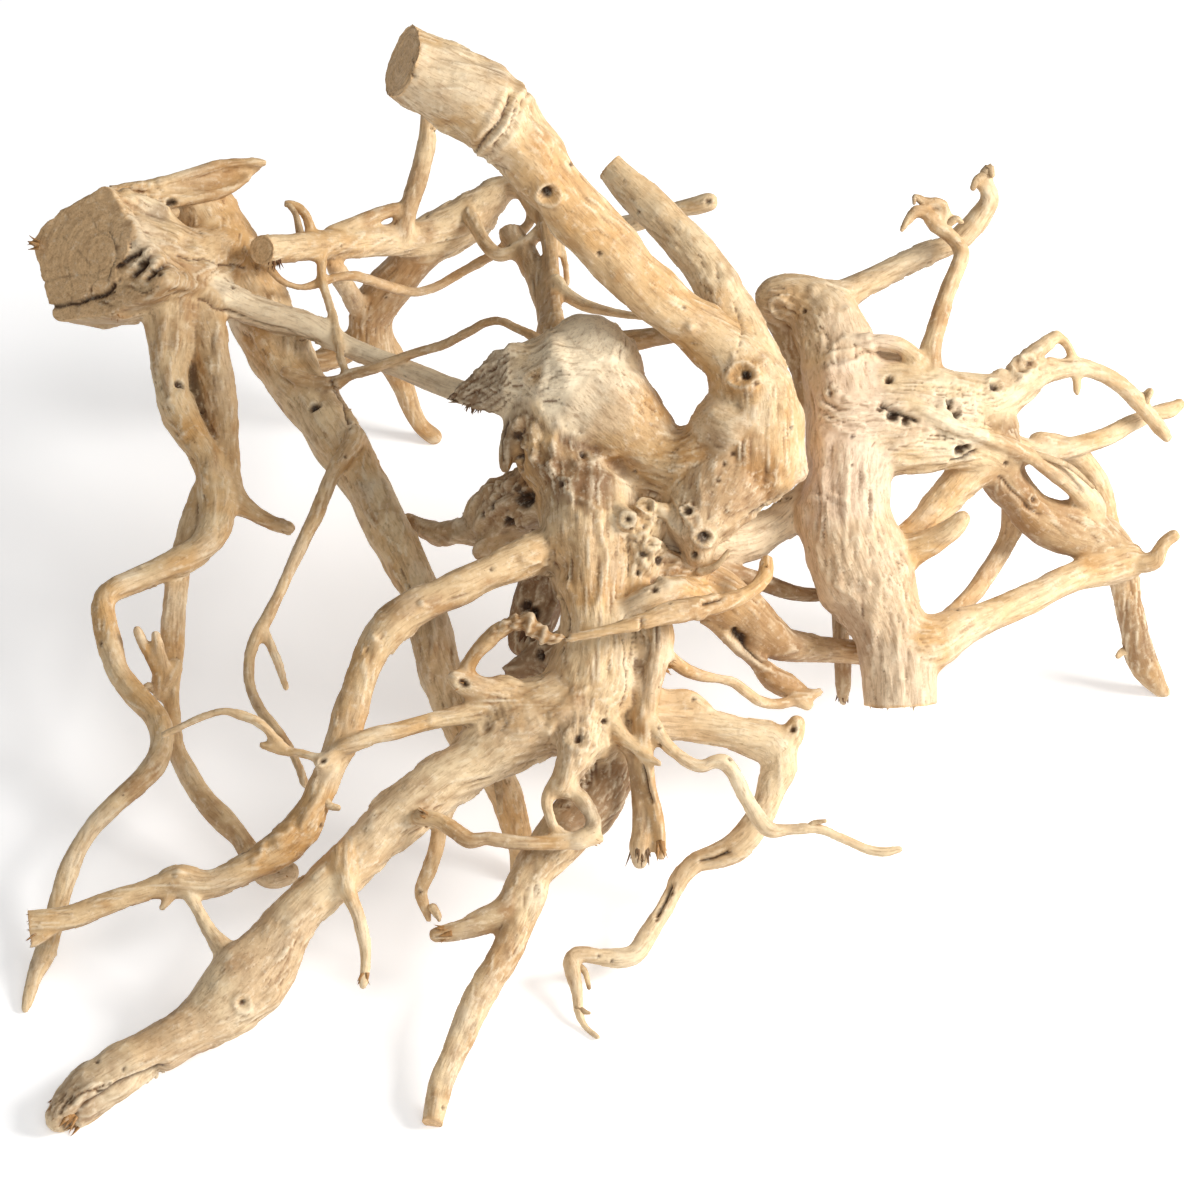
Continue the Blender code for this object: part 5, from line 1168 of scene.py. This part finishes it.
def shape_skin(skin, growth, look):
    """Forks blended, then relief set along the normals: swellings, flutes, grain, rough regions, marks."""
    thick = smooth_step(growth.radius, 0.003, 0.014)[:, None]
    points = skin.points
    for turn in range(look.blend_rounds):
        share = 0.5 if turn < 3 else 0.5 * thick
        points = points + (skin.mean(points) - points) * share
    skin.points = points
    radius = skin.smoothed(growth.radius, 12)
    maker = np.random.default_rng(5)
    raw = maker.standard_normal(len(points))
    fine = streaks(skin, growth.direction, raw, 16)
    flutes = streaks(skin, growth.direction, noise(points, 0.0045, 11) + 0.3 * raw, 60)
    swell = (0.090 * noise(points, 0.034, 3) + 0.065 * noise(points, 0.015, 4)) * np.minimum(radius, 0.02)
    sketch = to_sketch(points)
    shown = facing_front(sketch)
    marks, pits = marks_relief(sketch, shown, radius)
    folds = folds_relief(sketch, shown)
    cracks, splits = cracks_relief(sketch, shown)
    shares = region_shares(sketch, shown)
    rough = np.max([share * row[3] for share, row in zip(shares, REGIONS)], axis=0)
    torn = np.abs(rough_noise(points, 0.006, 23)) - 0.25
    height = swell + look.flute_height * flutes * smooth_step(radius, 0.002, 0.012)
    height += look.grain_height * fine
    height += (marks + cracks + folds + rough * 1.6 * torn) * SKETCH_UNIT
    fork = np.clip(skin.smoothed((growth.seam > 0.5).astype(float), 50) * 2.6, 0.0, 1.0)
    ripple = np.sin(growth.along * 2.0 * math.pi / RIPPLE_SPACING + 9.0 * noise(points, 0.011, 61))
    height += look.ripple_height * ripple * fork * smooth_step(noise(points, 0.03, 63), -0.4, 0.5) * (
        smooth_step(radius, 0.005, 0.014))
    skin.points = points + skin.normals() * height[:, None]
    sawn, rings = cut_flat(skin.points)
    # dark holds the painted shade of the pits and cracks
    return {"fine": fine, "flutes": flutes, "dark": np.maximum(pits, splits), "shares": shares,
            "sawn": sawn, "rings": rings}


def hollows(skin, rounds):
    """How far each point lies below its surroundings: the smoothed place less the place, along the normal."""
    smooth = skin.smoothed(skin.points, rounds)
    return ((smooth - skin.points) * skin.normals()).sum(axis=1)


def blended(colour, tint, share):
    """Colours moved toward a tint by a share at each point."""
    return colour + (linear(TINTS[tint]) - colour) * np.clip(share, 0.0, 1.0)[:, None]


def paint_skin(skin, growth, relief):
    """Colours from the arrays: mottled cream and tan, tinted regions, painted shade in brown in hollows,
    under the limbs and on shaded limbs, a painted highlight on ridges, and painted shade dark in pits and
    cracks.

    Each line moves the colour toward one tint by a share at every point, a smooth step of noise, of the
    relief, or of how far the point lies below its surroundings.
    """
    points = skin.points
    count = len(points)
    wide = noise(points, 0.045, 81) + 0.6 * noise(points, 0.018, 82)
    small = noise(points, 0.007, 83) + 0.6 * noise(points, 0.0032, 84)
    colour = np.tile(linear(TINTS["cream"]), (count, 1))
    colour = blended(colour, "ochre", 0.70 * smooth_step(wide + 0.35 * small, -0.2, 0.9))
    mottle = -wide + 0.5 * small + 0.25 * relief["flutes"]
    colour = blended(colour, "tan", 0.70 * smooth_step(mottle, 0.1, 1.1))
    colour = blended(colour, "pale", 0.55 * smooth_step(noise(points, 0.022, 85) + 0.4 * small, 0.1, 1.0))
    # Region tints: the wood's own tones, and painted shade where brown or dark balls sit in shaded hollows.
    for share, row in zip(relief["shares"], REGIONS):
        colour = blended(colour, row[4], share * row[5])
    hue = np.random.default_rng(9).uniform(-0.25, 0.25, growth.limb.max() + 1)
    hue = skin.smoothed(hue[growth.limb], 10)
    colour = blended(colour, "tan", np.maximum(hue, 0.0))
    colour = blended(colour, "pale", np.maximum(-hue, 0.0))
    # Limb tones, with painted shade on the limbs that lie in the shade of others.
    for name, (tint, amount) in LIMB_TONES_AND_SHADE.items():
        mine = (growth.limb == growth.names.index(name)).astype(float)
        colour = blended(colour, tint, amount * skin.smoothed(mine, 8))
    # Painted shade: faces that point down are moved toward brown, standing in for the shade beneath the
    # limbs.
    under = smooth_step(-skin.normals()[:, 2], -0.15, 0.95)
    colour = blended(colour, "brown", 0.45 * under)
    colour = blended(colour, "brown", 0.26 * smooth_step(-relief["fine"], 0.3, 2.4))
    colour = blended(colour, "pale", 0.45 * smooth_step(relief["fine"] + 0.4 * relief["flutes"], 0.5, 2.6))
    # Painted shade and painted highlight: brown and dark in shallow and deep hollows where shade falls, pale
    # on the ridges that stand out.
    near = hollows(skin, 3) / 0.00022
    far = hollows(skin, 24) / 0.0011
    colour = blended(colour, "brown", 0.75 * smooth_step(near, 0.3, 2.4))
    colour = blended(colour, "brown", 0.75 * smooth_step(far, 0.2, 2.2))
    colour = blended(colour, "dark", 0.55 * smooth_step(far, 1.5, 4.5))
    colour = blended(colour, "pale", 0.50 * smooth_step(-near, 0.3, 2.4))
    sawn = relief["sawn"]
    ring = 0.5 + 0.5 * np.sin(relief["rings"] * 2.0 * math.pi / RING_SPACING + 2.0 * noise(points, 0.008, 91))
    colour = blended(colour, "sawn", 0.8 * sawn)
    colour = blended(colour, "ring", 0.40 * sawn * ring)
    colour = blended(colour, "brown", 0.22 * sawn * smooth_step(noise(points, 0.006, 93), 0.2, 0.9))
    # Painted shade: the pits and cracks are darkened, standing in for the shade inside them.
    colour = blended(colour, "dark", 0.92 * smooth_step(relief["dark"], 0.15, 0.95))
    return colour


def mesh_from_arrays(name, points, corners, values, normals=None):
    """A mesh of quads, its named values stored at its points."""
    mesh = bpy.data.meshes.new(name)
    mesh.vertices.add(len(points))
    mesh.vertices.foreach_set("co", points.ravel())
    mesh.loops.add(corners.size)
    mesh.loops.foreach_set("vertex_index", corners.ravel())
    mesh.polygons.add(len(corners))
    mesh.polygons.foreach_set("loop_start", np.arange(len(corners)) * 4)
    mesh.polygons.foreach_set("use_smooth", np.ones(len(corners), dtype=bool))
    mesh.update(calc_edges=True)
    for key, array in values.items():
        kind = "FLOAT" if array.ndim == 1 else "FLOAT_COLOR" if array.shape[1] == 4 else "FLOAT_VECTOR"
        layer = mesh.attributes.new(key, kind, "POINT")
        layer.data.foreach_set({"FLOAT": "value", "FLOAT_COLOR": "color", "FLOAT_VECTOR": "vector"}[kind],
                               array.ravel())
    if normals is not None:
        mesh.normals_split_custom_set_from_vertices(normals)
    return mesh


def placed(name, mesh, material):
    """An object for a finished mesh, standing for the branch's node and riding on its body."""
    mesh.materials.append(material)
    shape = bpy.data.objects.new(name, mesh)
    bpy.context.scene.collection.objects.link(shape)
    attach(shape, BODY)
    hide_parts(NODE)


def blades(spray, seed):
    """Torn fibres at a limb's end as tapering blades over (blade, row, corner).

    Each blade starts at a place spread round the end, points along the given way with some scatter, bends
    a little with the square of its length, and narrows to a point; its section is a flat diamond.
    """
    station, facing, reach, length, count, tint = spray
    maker = np.random.default_rng(seed)
    way = to_direction(facing)
    side = np.cross(way, np.eye(3)[np.argmin(np.abs(way))])
    side /= np.linalg.norm(side)
    lift = np.cross(way, side)
    turn = maker.uniform(0.0, 2.0 * math.pi, count)
    out = np.sqrt(maker.uniform(0.0, 1.0, count)) * reach * SKETCH_UNIT
    spoke = np.cos(turn)[:, None] * side + np.sin(turn)[:, None] * lift
    base = to_world(station) + spoke * out[:, None] - way * BLADE_ROOT
    aim = way + spoke * maker.uniform(-0.15, 0.25, count)[:, None] + maker.normal(0.0, 0.10, (count, 3))
    aim /= np.linalg.norm(aim, axis=1, keepdims=True)
    long = (BLADE_ROOT + length * SKETCH_UNIT * maker.uniform(0.25, 1.0, count))[:, None, None]
    wide = maker.uniform(0.0007, 0.0017, count)[:, None, None]
    part = np.linspace(0.0, 1.0, BLADE_ROWS)[None, :, None]
    spine = base[:, None] + aim[:, None] * part * long + spoke[:, None] * maker.normal(
        0.0, 0.0012, count)[:, None, None] * part ** 2
    flat = np.cross(aim, spoke)
    flat /= np.linalg.norm(flat, axis=1, keepdims=True)
    thin = np.cross(aim, flat)
    taper = wide * (1.0 - part ** 2 * 0.92)
    corners = np.stack((spine + flat[:, None] * taper, spine + thin[:, None] * taper * 0.55,
                        spine - flat[:, None] * taper, spine - thin[:, None] * taper * 0.55), axis=2)
    index = np.arange(corners.size // 3).reshape(count, BLADE_ROWS, 4)
    over = np.roll(index, -1, axis=2)
    quads = np.stack((index[:, :-1], over[:, :-1], over[:, 1:], index[:, 1:]), axis=-1).reshape(-1, 4)
    tips = np.concatenate((index[:, -1], index[:, 0, ::-1]))
    tone = linear(TINTS[tint]) * maker.uniform(0.75, 1.15, count)[:, None]
    paint = np.repeat(np.clip(tone, 0.0, 1.0), 4 * BLADE_ROWS, axis=0)
    return corners.reshape(-1, 3), np.vstack((quads, tips)), paint


def twiglet(stations, seed):
    """A fine twig: a limb's surface with each end ring closed by quads from side to side."""
    points, faces = limb_surface(Limb(stations, LEAST_TWIG_RADIUS, 0.25), TWIG_SIDES, 0.08, seed * 2.3)
    quads = [face for face in faces if len(face) == 4]
    for ring in faces[-2:]:
        quads.extend([ring[k], ring[k + 1], ring[-2 - k], ring[-1 - k]] for k in range(TWIG_SIDES // 2 - 1))
    base = np.tile(linear(TINTS["cream"]), (len(points), 1))
    return points, np.array(quads), blended(base, "brown", 0.35 + 0.35 * noise(points, 0.004, seed))


def stacked(parts):
    """Several sets of points, quads and colours as one."""
    points, quads, paint, start = [], [], [], 0
    for some, faces, tone in parts:
        points.append(some)
        quads.append(faces + start)
        paint.append(tone)
        start += len(some)
    return np.vstack(points), np.vstack(quads), np.vstack(paint)


class Sum:
    """A number that a shader works out: wraps a socket, and each operator adds a math node."""

    def __init__(self, graph, socket):
        self.graph = graph
        self.socket = socket

    def math(self, operation, *others):
        """The result of a math node on this number and the others."""
        node = self.graph.node("ShaderNodeMath", {"operation": operation},
                               dict(enumerate((self, *others))))
        return Sum(self.graph, node.outputs[0])

    def __add__(self, other):
        return self.math("ADD", other)

    def __radd__(self, other):
        return self.math("ADD", other)

    def __sub__(self, other):
        return self.math("SUBTRACT", other)

    def __rsub__(self, other):
        return self.math("MULTIPLY", -1.0) + other

    def __mul__(self, other):
        return self.math("MULTIPLY", other)

    def __rmul__(self, other):
        return self.math("MULTIPLY", other)

    def between(self, low, high):
        """0 below low, 1 above high, smooth between."""
        node = self.graph.node("ShaderNodeMapRange", {"interpolation_type": "SMOOTHSTEP"},
                               {"Value": self, "From Min": low, "From Max": high})
        return Sum(self.graph, node.outputs[0])


class Graph:
    """A material's nodes, added one method at a time."""

    def __init__(self, name):
        self.material = bpy.data.materials.new(name)
        self.material.use_nodes = True
        self.tree = self.material.node_tree
        self.shader = self.tree.nodes["Principled BSDF"]

    def node(self, kind, settings, inputs):
        """A node of a type, its settings first, then its socket values and links."""
        node = self.tree.nodes.new(kind)
        for key, value in settings.items():
            setattr(node, key, value)
        for key, value in inputs.items():
            self.feed(node.inputs[key], value)
        return node

    def feed(self, socket, value):
        """A socket linked to a number or an output, or given a plain value."""
        if isinstance(value, Sum):
            self.tree.links.new(value.socket, socket)
        elif isinstance(value, bpy.types.NodeSocket):
            self.tree.links.new(value, socket)
        else:
            socket.default_value = value

    def attribute(self, name, output="Fac"):
        """A named value of the mesh."""
        return self.node("ShaderNodeAttribute", {"attribute_name": name}, {}).outputs[output]

    def noise(self, vector, scale, detail, roughness=0.55):
        """Noise of a scale over a vector, 0 to 1."""
        node = self.node("ShaderNodeTexNoise", {}, {"Vector": vector, "Scale": scale, "Detail": detail,
                                                    "Roughness": roughness})
        return Sum(self, node.outputs["Fac"])

    def mixed(self, first, second, share):
        """Two colours mixed by a share."""
        node = self.node("ShaderNodeMix", {"data_type": "RGBA"}, {"Factor": share, 6: first, 7: second})
        return node.outputs[2]


def wood_material(look):
    """Dry wood: the skin's colours, fine fibres along the limbs, specks, and a matt, finely bumpy finish."""
    graph = Graph("driftwood")
    colour = graph.attribute("wood_colour", "Color")
    fibre = graph.attribute("fibre", "Vector")
    seam = Sum(graph, graph.attribute("seam"))
    place = graph.node("ShaderNodeTexCoord", {}, {}).outputs["Object"]
    lines = graph.noise(fibre, 950.0, 3.0)
    wide = graph.noise(fibre, 330.0, 2.0)
    specks = graph.noise(place, 1300.0, 2.0).between(0.66, 0.74)
    mottle = graph.noise(place, 260.0, 4.0, 0.65)
    calm = 1.0 - seam
    line_share = lines.between(0.50, 0.72) * calm
    wide_share = wide.between(0.52, 0.70) * calm
    brown = (*look.fibre_colour, 1.0)
    pale = (*look.fleck_colour, 1.0)
    dark = (*linear((72, 46, 27)), 1.0)
    tinted = graph.mixed(colour, brown, line_share * 0.38)
    tinted = graph.mixed(tinted, brown, wide_share * 0.26)
    tinted = graph.mixed(tinted, pale, mottle.between(0.52, 0.78) * 0.38)
    tinted = graph.mixed(tinted, brown, mottle.between(0.50, 0.26) * 0.20)
    tinted = graph.mixed(tinted, dark, specks * 0.30)
    graph.feed(graph.shader.inputs["Base Color"], tinted)
    graph.feed(graph.shader.inputs["Roughness"], mottle * 0.25 + 0.48)
    height = lines * calm * 0.6 + wide * calm * 0.5 + mottle * 0.7 + specks * -0.4
    bump = graph.node("ShaderNodeBump", {}, {"Strength": look.bump_strength, "Distance": 0.0006,
                                             "Height": height})
    graph.feed(graph.shader.inputs["Normal"], bump.outputs["Normal"])
    graph.shader.inputs["Specular IOR Level"].default_value = 0.28
    return graph.material


class DriftwoodLook(bpy.types.PropertyGroup):
    """How the branch is grown and finished."""

    voxel: bpy.props.FloatProperty(
        name="Voxel", description="Edge of the voxels that the limbs are grown together with",
        default=0.00135, min=0.0008, max=0.01, unit="LENGTH")
    blend_rounds: bpy.props.IntProperty(
        name="Blend rounds", description="Smoothing rounds that blend the forks", default=16, min=0, max=60)
    flute_height: bpy.props.FloatProperty(
        name="Flutes", description="Height of the flutes along thick limbs",
        default=0.00042, min=0.0, max=0.003, unit="LENGTH")
    ripple_height: bpy.props.FloatProperty(
        name="Ripples", description="Height of the ripples across the grain near the forks",
        default=0.00017, min=0.0, max=0.003, unit="LENGTH")
    grain_height: bpy.props.FloatProperty(
        name="Grain", description="Height of the fine grain",
        default=0.00011, min=0.0, max=0.001, unit="LENGTH")
    bump_strength: bpy.props.FloatProperty(
        name="Bump", description="Strength of the finest bumps", default=0.85, min=0.0, max=1.0,
        subtype="FACTOR")
    key_power: bpy.props.FloatProperty(
        name="Key light", description="Power of the key light in watts", default=60.0, min=0.0, max=500.0)
    fill_power: bpy.props.FloatProperty(
        name="Fill light", description="Power of the fill light in watts", default=12.0, min=0.0, max=500.0)
    sky_strength: bpy.props.FloatProperty(
        name="Sky", description="Strength of the even white surroundings", default=0.24, min=0.0, max=3.0)
    floor_glow: bpy.props.FloatProperty(
        name="Floor glow", description="Light that the pale floor gives off", default=0.40, min=0.0, max=2.0)
    floor_colour: bpy.props.FloatVectorProperty(
        name="Floor colour", description="Colour of the pale floor", size=3, subtype="COLOR",
        default=(0.93, 0.93, 0.935), min=0.0, max=1.0)
    fibre_colour: bpy.props.FloatVectorProperty(
        name="Fibre colour", description="Colour of the fine dark fibres", size=3, subtype="COLOR",
        default=(0.2307, 0.1022, 0.0319), min=0.0, max=1.0)
    fleck_colour: bpy.props.FloatVectorProperty(
        name="Fleck colour", description="Colour of the pale weathered flecks", size=3, subtype="COLOR",
        default=(0.9387, 0.8228, 0.6308), min=0.0, max=1.0)


class GrowBranch(bpy.types.Operator):
    """Grow the limbs together and add them as six pieces"""

    bl_idname = "driftwood.grow_branch"
    bl_label = "Grow branch"

    def execute(self, context):
        look = context.scene.driftwood_look
        surfaces = []
        for table in PIECES.values():
            for stations in table.values():
                limb = Limb(stations, LEAST_RADIUS)
                sides = int(np.clip(limb.radii.max() / SIDE_WIDTH, 12, 40))
                surfaces.append(limb_surface(limb, sides, 0.035, len(surfaces) * 1.7))
        surfaces.append(plate_surface(BUTT_OUTLINE, BUTT_PLATE))
        surfaces.append(plate_surface(FIN_OUTLINE, FIN_PLATE))
        surfaces.append(plate_surface(TORN_OUTLINE, TORN_PLATE))
        skin = grown_skin(*joined(surfaces), look.voxel)
        growth = Growth(skin)
        relief = shape_skin(skin, growth, look)
        colour = paint_skin(skin, growth, relief)
        normals = skin.normals()
        paint = np.column_stack((colour, np.ones(len(colour))))
        material = wood_material(look)
        owner = growth.group[skin.quads[:, 0]]
        for group, name in enumerate(PIECES):
            quads = skin.quads[owner == group]
            if not len(quads):
                raise RuntimeError(f"the piece {name} is empty")
            used, corners = np.unique(quads, return_inverse=True)
            values = {"wood_colour": paint[used], "fibre": growth.fibre[used], "seam": growth.seam[used]}
            mesh = mesh_from_arrays(name, skin.points[used], corners.reshape(-1, 4), values, normals[used])
            placed(name, mesh, material)
        return {"FINISHED"}


class AddSplinters(bpy.types.Operator):
    """Add the torn fibres and the twigs that are too fine for the frame"""

    bl_idname = "driftwood.add_splinters"
    bl_label = "Add splinters and fine twigs"

    def execute(self, context):
        material = bpy.data.materials.get("driftwood")
        if material is None:
            raise RuntimeError("the branch is grown before its splinters")
        sprays = [blades(spray, seed) for seed, spray in enumerate(SPLINTERS)]
        twigs = [twiglet(stations, seed) for seed, stations in enumerate(TWIGLETS)]
        self.add("splinters", *stacked(sprays), material)
        self.add("twiglets", *stacked(twigs), material)
        return {"FINISHED"}

    @staticmethod
    def add(name, points, quads, paint, material):
        """One mesh of quads with its colours and grain coordinates."""
        points[:, 2] = np.maximum(points[:, 2], 0.0002)
        values = {"wood_colour": np.column_stack((paint, np.ones(len(paint)))), "fibre": points,
                  "seam": np.zeros(len(points))}
        placed(name, mesh_from_arrays(name, points, quads, values), material)


class SetStage(bpy.types.Operator):
    """Set the pale floor, the soft lights and the camera"""

    bl_idname = "driftwood.set_stage"
    bl_label = "Set stage"

    def execute(self, context):
        look = context.scene.driftwood_look
        scene = context.scene
        floor = bpy.data.meshes.new("floor")
        corners = ((-1.0, -1.0), (1.0, -1.0), (1.0, 1.0), (-1.0, 1.0))
        floor.from_pydata([(FLOOR_HALF * x, FLOOR_HALF * y, 0.0) for x, y in corners], [], [(0, 1, 2, 3)])
        graph = Graph("floor")
        graph.shader.inputs["Base Color"].default_value = (*look.floor_colour, 1.0)
        graph.shader.inputs["Roughness"].default_value = 0.9
        graph.shader.inputs["Specular IOR Level"].default_value = 0.1
        graph.shader.inputs["Emission Color"].default_value = (1.0, 1.0, 1.0, 1.0)
        graph.shader.inputs["Emission Strength"].default_value = look.floor_glow
        floor.materials.append(graph.material)
        ground = bpy.data.objects.new("floor", floor)
        scene.collection.objects.link(ground)
        world = bpy.data.worlds.new("studio")
        world.use_nodes = True
        world.node_tree.nodes["Background"].inputs["Color"].default_value = (1.0, 1.0, 1.0, 1.0)
        world.node_tree.nodes["Background"].inputs["Strength"].default_value = look.sky_strength
        scene.world = world
        self.light("key", (1.8, -0.35, 1.35), 0.9, look.key_power, (1.0, 0.985, 0.96))
        self.light("fill", (0.2, -1.5, 1.6), 1.2, look.fill_power, (1.0, 1.0, 1.0))
        camera = bpy.data.cameras.new("camera")
        camera.lens = CAMERA_LENS
        camera.sensor_width = SENSOR_WIDTH
        shape = bpy.data.objects.new("camera", camera)
        back = VIEW_DISTANCE * math.cos(VIEW_ELEVATION)
        shape.location = (-ORIGIN[0], -ORIGIN[1] - back,
                          CENTRE_HEIGHT + VIEW_DISTANCE * math.sin(VIEW_ELEVATION))
        shape.rotation_euler = (math.pi / 2.0 - VIEW_ELEVATION, 0.0, 0.0)
        scene.collection.objects.link(shape)
        scene.camera = shape
        scene.view_settings.view_transform = "Standard"
        return {"FINISHED"}

    @staticmethod
    def light(name, place, size, power, colour):
        """A square area light that faces the middle of the branch."""
        lamp = bpy.data.lights.new(name, "AREA")
        lamp.size = size
        lamp.energy = power
        lamp.color = colour
        shape = bpy.data.objects.new(name, lamp)
        shape.location = place
        shape.rotation_euler = (Vector(place) - Vector((0.0, 0.0, 0.15))).to_track_quat("Z", "Y").to_euler()
        bpy.context.scene.collection.objects.link(shape)


class DriftwoodPanel(bpy.types.Panel):
    """The branch's settings and steps in the sidebar"""

    bl_idname = "VIEW3D_PT_driftwood"
    bl_label = "Driftwood branch"
    bl_space_type = "VIEW_3D"
    bl_region_type = "UI"
    bl_category = "Driftwood"

    def draw(self, context):
        look = context.scene.driftwood_look
        column = self.layout.column()
        for name in ("voxel", "blend_rounds", "flute_height", "ripple_height", "grain_height",
                     "bump_strength", "fibre_colour", "fleck_colour", "key_power", "fill_power",
                     "sky_strength", "floor_glow", "floor_colour"):
            column.prop(look, name)
        for step in (GrowBranch, AddSplinters, SetStage):
            column.operator(step.bl_idname)


CLASSES = (DriftwoodLook, GrowBranch, AddSplinters, SetStage, DriftwoodPanel)


def register():
    """Register the classes and the scene's settings."""
    for item in CLASSES:
        bpy.utils.register_class(item)
    bpy.types.Scene.driftwood_look = bpy.props.PointerProperty(type=DriftwoodLook)


def unregister():
    """Remove what register added."""
    del bpy.types.Scene.driftwood_look
    for item in reversed(CLASSES):
        bpy.utils.unregister_class(item)


def main():
    """Build every piece and the stage."""
    register()
    bpy.ops.driftwood.grow_branch()
    bpy.ops.driftwood.add_splinters()
    bpy.ops.driftwood.set_stage()


if __name__ == "__main__":
    main()
